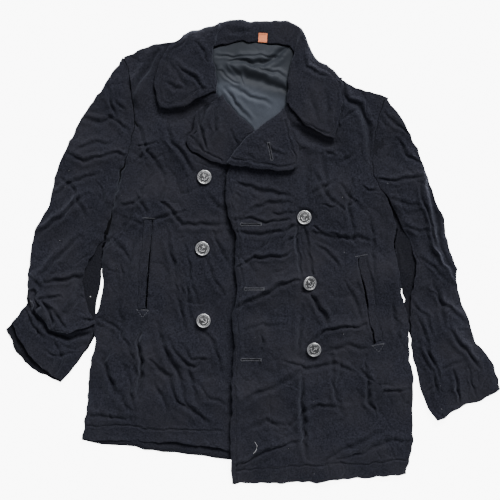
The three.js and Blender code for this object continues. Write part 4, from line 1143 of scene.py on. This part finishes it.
def button_parts():
    """The button in its own millimetres: vertices, faces and the look of each face."""
    vertices, faces, looks = [], [], []
    rings = []
    for point in DISC:
        if point["radius"] == 0:
            rings.append([len(vertices)])
            vertices.append(Vector((0, 0, point["height"])))
            continue
        ring = []
        for k in range(DISC_SIDES):
            angle = 2 * math.pi * k / DISC_SIDES
            ring.append(len(vertices))
            vertices.append(Vector((point["radius"] * math.cos(angle), point["radius"] * math.sin(angle), point["height"])))
        rings.append(ring)
    for i, (a, b) in enumerate(zip(rings, rings[1:])):
        field = DISC[i]["radius"] <= 10.8 and DISC[i]["height"] > 5.7
        for k in range(DISC_SIDES):
            n = (k + 1) % DISC_SIDES
            if len(a) == 1:
                face = (a[0], b[n], b[k])
            elif len(b) == 1:
                face = (a[k], a[n], b[0])
            else:
                face = (a[k], a[n], b[n], b[k])
            faces.append(face)
            looks.append(1 if field else 0)
    relief = Threads()
    up = Vector((0, 0, 1))
    for k in range(ROPE["count"]):
        angle = 2 * math.pi * k / ROPE["count"]
        out = Vector((math.cos(angle), math.sin(angle), 0))
        round_about = Vector((-out.y, out.x, 0))
        along = round_about * math.cos(ROPE["slant"]) + out * math.sin(ROPE["slant"])
        relief.add(out * ROPE["radius"] + up * ROPE["height"], along, up, ROPE["length"], ROPE["width"], 0.5)
    for line in ANCHOR_LINES:
        points = [Vector((px, py, ANCHOR_LIFT - 0.012 * (px * px + py * py))) for px, py in line["path"]]
        for a, b in zip(points, points[1:]):
            relief.add((a + b) / 2, b - a, up, (b - a).length + line["width"] * 1.3, line["width"], line["width"])
    for k in range(ANCHOR_RING["count"]):
        angle = 2 * math.pi * k / ANCHOR_RING["count"]
        out = Vector((math.cos(angle), math.sin(angle), 0))
        centre = Vector((0, ANCHOR_RING["y"], ANCHOR_LIFT - 0.35)) + out * ANCHOR_RING["radius"]
        relief.add(centre, Vector((-out.y, out.x, 0)), up, 0.85, ANCHOR_RING["width"], 0.5)
    start = len(vertices)
    vertices += relief.vertices
    faces += [tuple(start + i for i in face) for face in relief.faces]
    looks += [0] * len(relief.faces)
    return vertices, faces, looks


BUTTON_PARTS = button_parts()
for button in BUTTONS:
    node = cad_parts[button["node"]]
    turn = Matrix.Rotation(button["tilt_x"], 3, "X") @ Matrix.Rotation(button["tilt_y"], 3, "Y")
    axis = turn @ Vector((0, 0, 1))
    heights = [v.co.dot(axis) for v in node.data.vertices]
    lowest = min(heights)
    base = [v.co for v, h in zip(node.data.vertices, heights) if h < lowest + 1e-5]
    seat = sum(base, Vector((0, 0, 0))) / len(base)
    turned = turn @ Matrix.Rotation(button["turn"], 3, "Z")
    vertices = [seat + turned @ (v * MM) for v in BUTTON_PARTS[0]]
    piece = mesh_of(button["node"] + "_cast", vertices, BUTTON_PARTS[1], [RELIEF, FIELD], BUTTON_PARTS[2])
    rides(piece, "pewter", button["node"])

# The blank woven tab, with its ends folded under and two bars of stitches
TAB_CELLS = 14
low, high = (Vector(corner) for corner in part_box("neck_tab"))
bm = welded("neck_tab")
bmesh.ops.subdivide_edges(bm, edges=bm.edges[:], cuts=TAB_CELLS, use_grid_fill=True)
middle = (low + high) / 2
for v in bm.verts:
    across = (v.co.x - middle.x) / (high.x - low.x)
    along = (v.co.y - middle.y) / (high.y - low.y)
    v.co.z += 0.0003 * math.sin(3.0 * across + 1.2) + 0.0005 * (4 * along * along)
tab_mesh = bpy.data.meshes.new("neck_tab_ribbon")
bm.to_mesh(tab_mesh)
bm.free()
tab = new_object("neck_tab_ribbon", tab_mesh, RIBBON)
rides(tab, "tab_ribbon", "neck_tab")
tab_tree = surface_tree(tab)
tab_threads = Threads()
for share in (0.14, 0.86):
    y = low.y + (high.y - low.y) * share
    line = [Vector((low.x + 0.002, y)), Vector((high.x - 0.002, y))]
    tab_threads.follow(line, tab_tree, 0.0024, (1.8, 0.3, 0.3))
rides(tab_threads.made("neck_tab_stitches", SEAM_THREAD), "melton")

# Lint and loose threads on the nap
LINT_FLECKS = 46
LONG_THREAD = ((9, -345), (13, -352), (11, -360), (6, -366))
BRIGHT_FLECK = (-287, -84)
flecks = Threads()
for _ in range(LINT_FLECKS):
    node = chance.choice(("front_left", "front_right", "sleeve_top_right", "sleeve_top_left", "front_left"))
    low, high = (Vector(corner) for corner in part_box(node))
    xy = Vector((chance.uniform(low.x, high.x), chance.uniform(low.y, high.y)))
    hit = cast_down(surfaces[node], xy)
    angle = chance.uniform(0, math.pi)
    size = chance.uniform(0.5, 1.5) * MM
    if hit is None or above.ray_cast(hit[0] + Vector((0, 0, 0.003)), Vector((0, 0, 1)))[0] is not None:
        continue
    flecks.add(hit[0] + hit[1] * 0.0002, Vector((math.cos(angle), math.sin(angle), 0)), hit[1], size, 0.00022, 0.0002)
long_thread = resampled([place(p) for p in LONG_THREAD], 0.0025)
for a, b in zip(long_thread, long_thread[1:]):
    hit = cast_down(surfaces["front_left"], (a + b) / 2)
    flecks.add(hit[0] + hit[1] * 0.0003, Vector((b.x - a.x, b.y - a.y, 0)), hit[1], 0.0031, 0.00028, 0.00026)
hit = cast_down(surfaces["sleeve_under_right"], place(BRIGHT_FLECK))
flecks.add(hit[0] + hit[1] * 0.0004, Vector((1, 0.3, 0)), hit[1], 0.0024, 0.0011, 0.0006)
rides(flecks.made("lint", LINT), "melton")

# Floor, light and camera
FLOOR_HALF = 4.0
floor = mesh_of(
    "floor",
    [(-FLOOR_HALF, -FLOOR_HALF, 0), (FLOOR_HALF, -FLOOR_HALF, 0), (FLOOR_HALF, FLOOR_HALF, 0), (-FLOOR_HALF, FLOOR_HALF, 0)],
    [(0, 1, 2, 3)],
    studio_floor(),
)
floor.location.z = -0.0006

SUN = {"from": (0.42, 1.05, 1.0), "angle": math.radians(26), "strength": 5.5}
sun_data = bpy.data.lights.new("window", "SUN")
sun_data.angle = SUN["angle"]
sun_data.energy = SUN["strength"]
sun = bpy.data.objects.new("window", sun_data)
sun.rotation_euler = Vector(SUN["from"]).to_track_quat("Z", "Y").to_euler()
bpy.context.scene.collection.objects.link(sun)

world = bpy.data.worlds.new("studio")
world.use_nodes = True
world.node_tree.nodes["Background"].inputs["Color"].default_value = (0.93, 0.95, 1.0, 1)
world.node_tree.nodes["Background"].inputs["Strength"].default_value = 0.46
bpy.context.scene.world = world

camera_data = bpy.data.cameras.new("camera")
camera_data.sensor_width = SENSOR
camera_data.lens = SENSOR * CAMERA_HEIGHT / PHOTO_WIDTH
camera = bpy.data.objects.new("camera", camera_data)
camera.location = (SPREAD.x, SPREAD.y, CAMERA_HEIGHT)
bpy.context.scene.collection.objects.link(camera)
bpy.context.scene.camera = camera
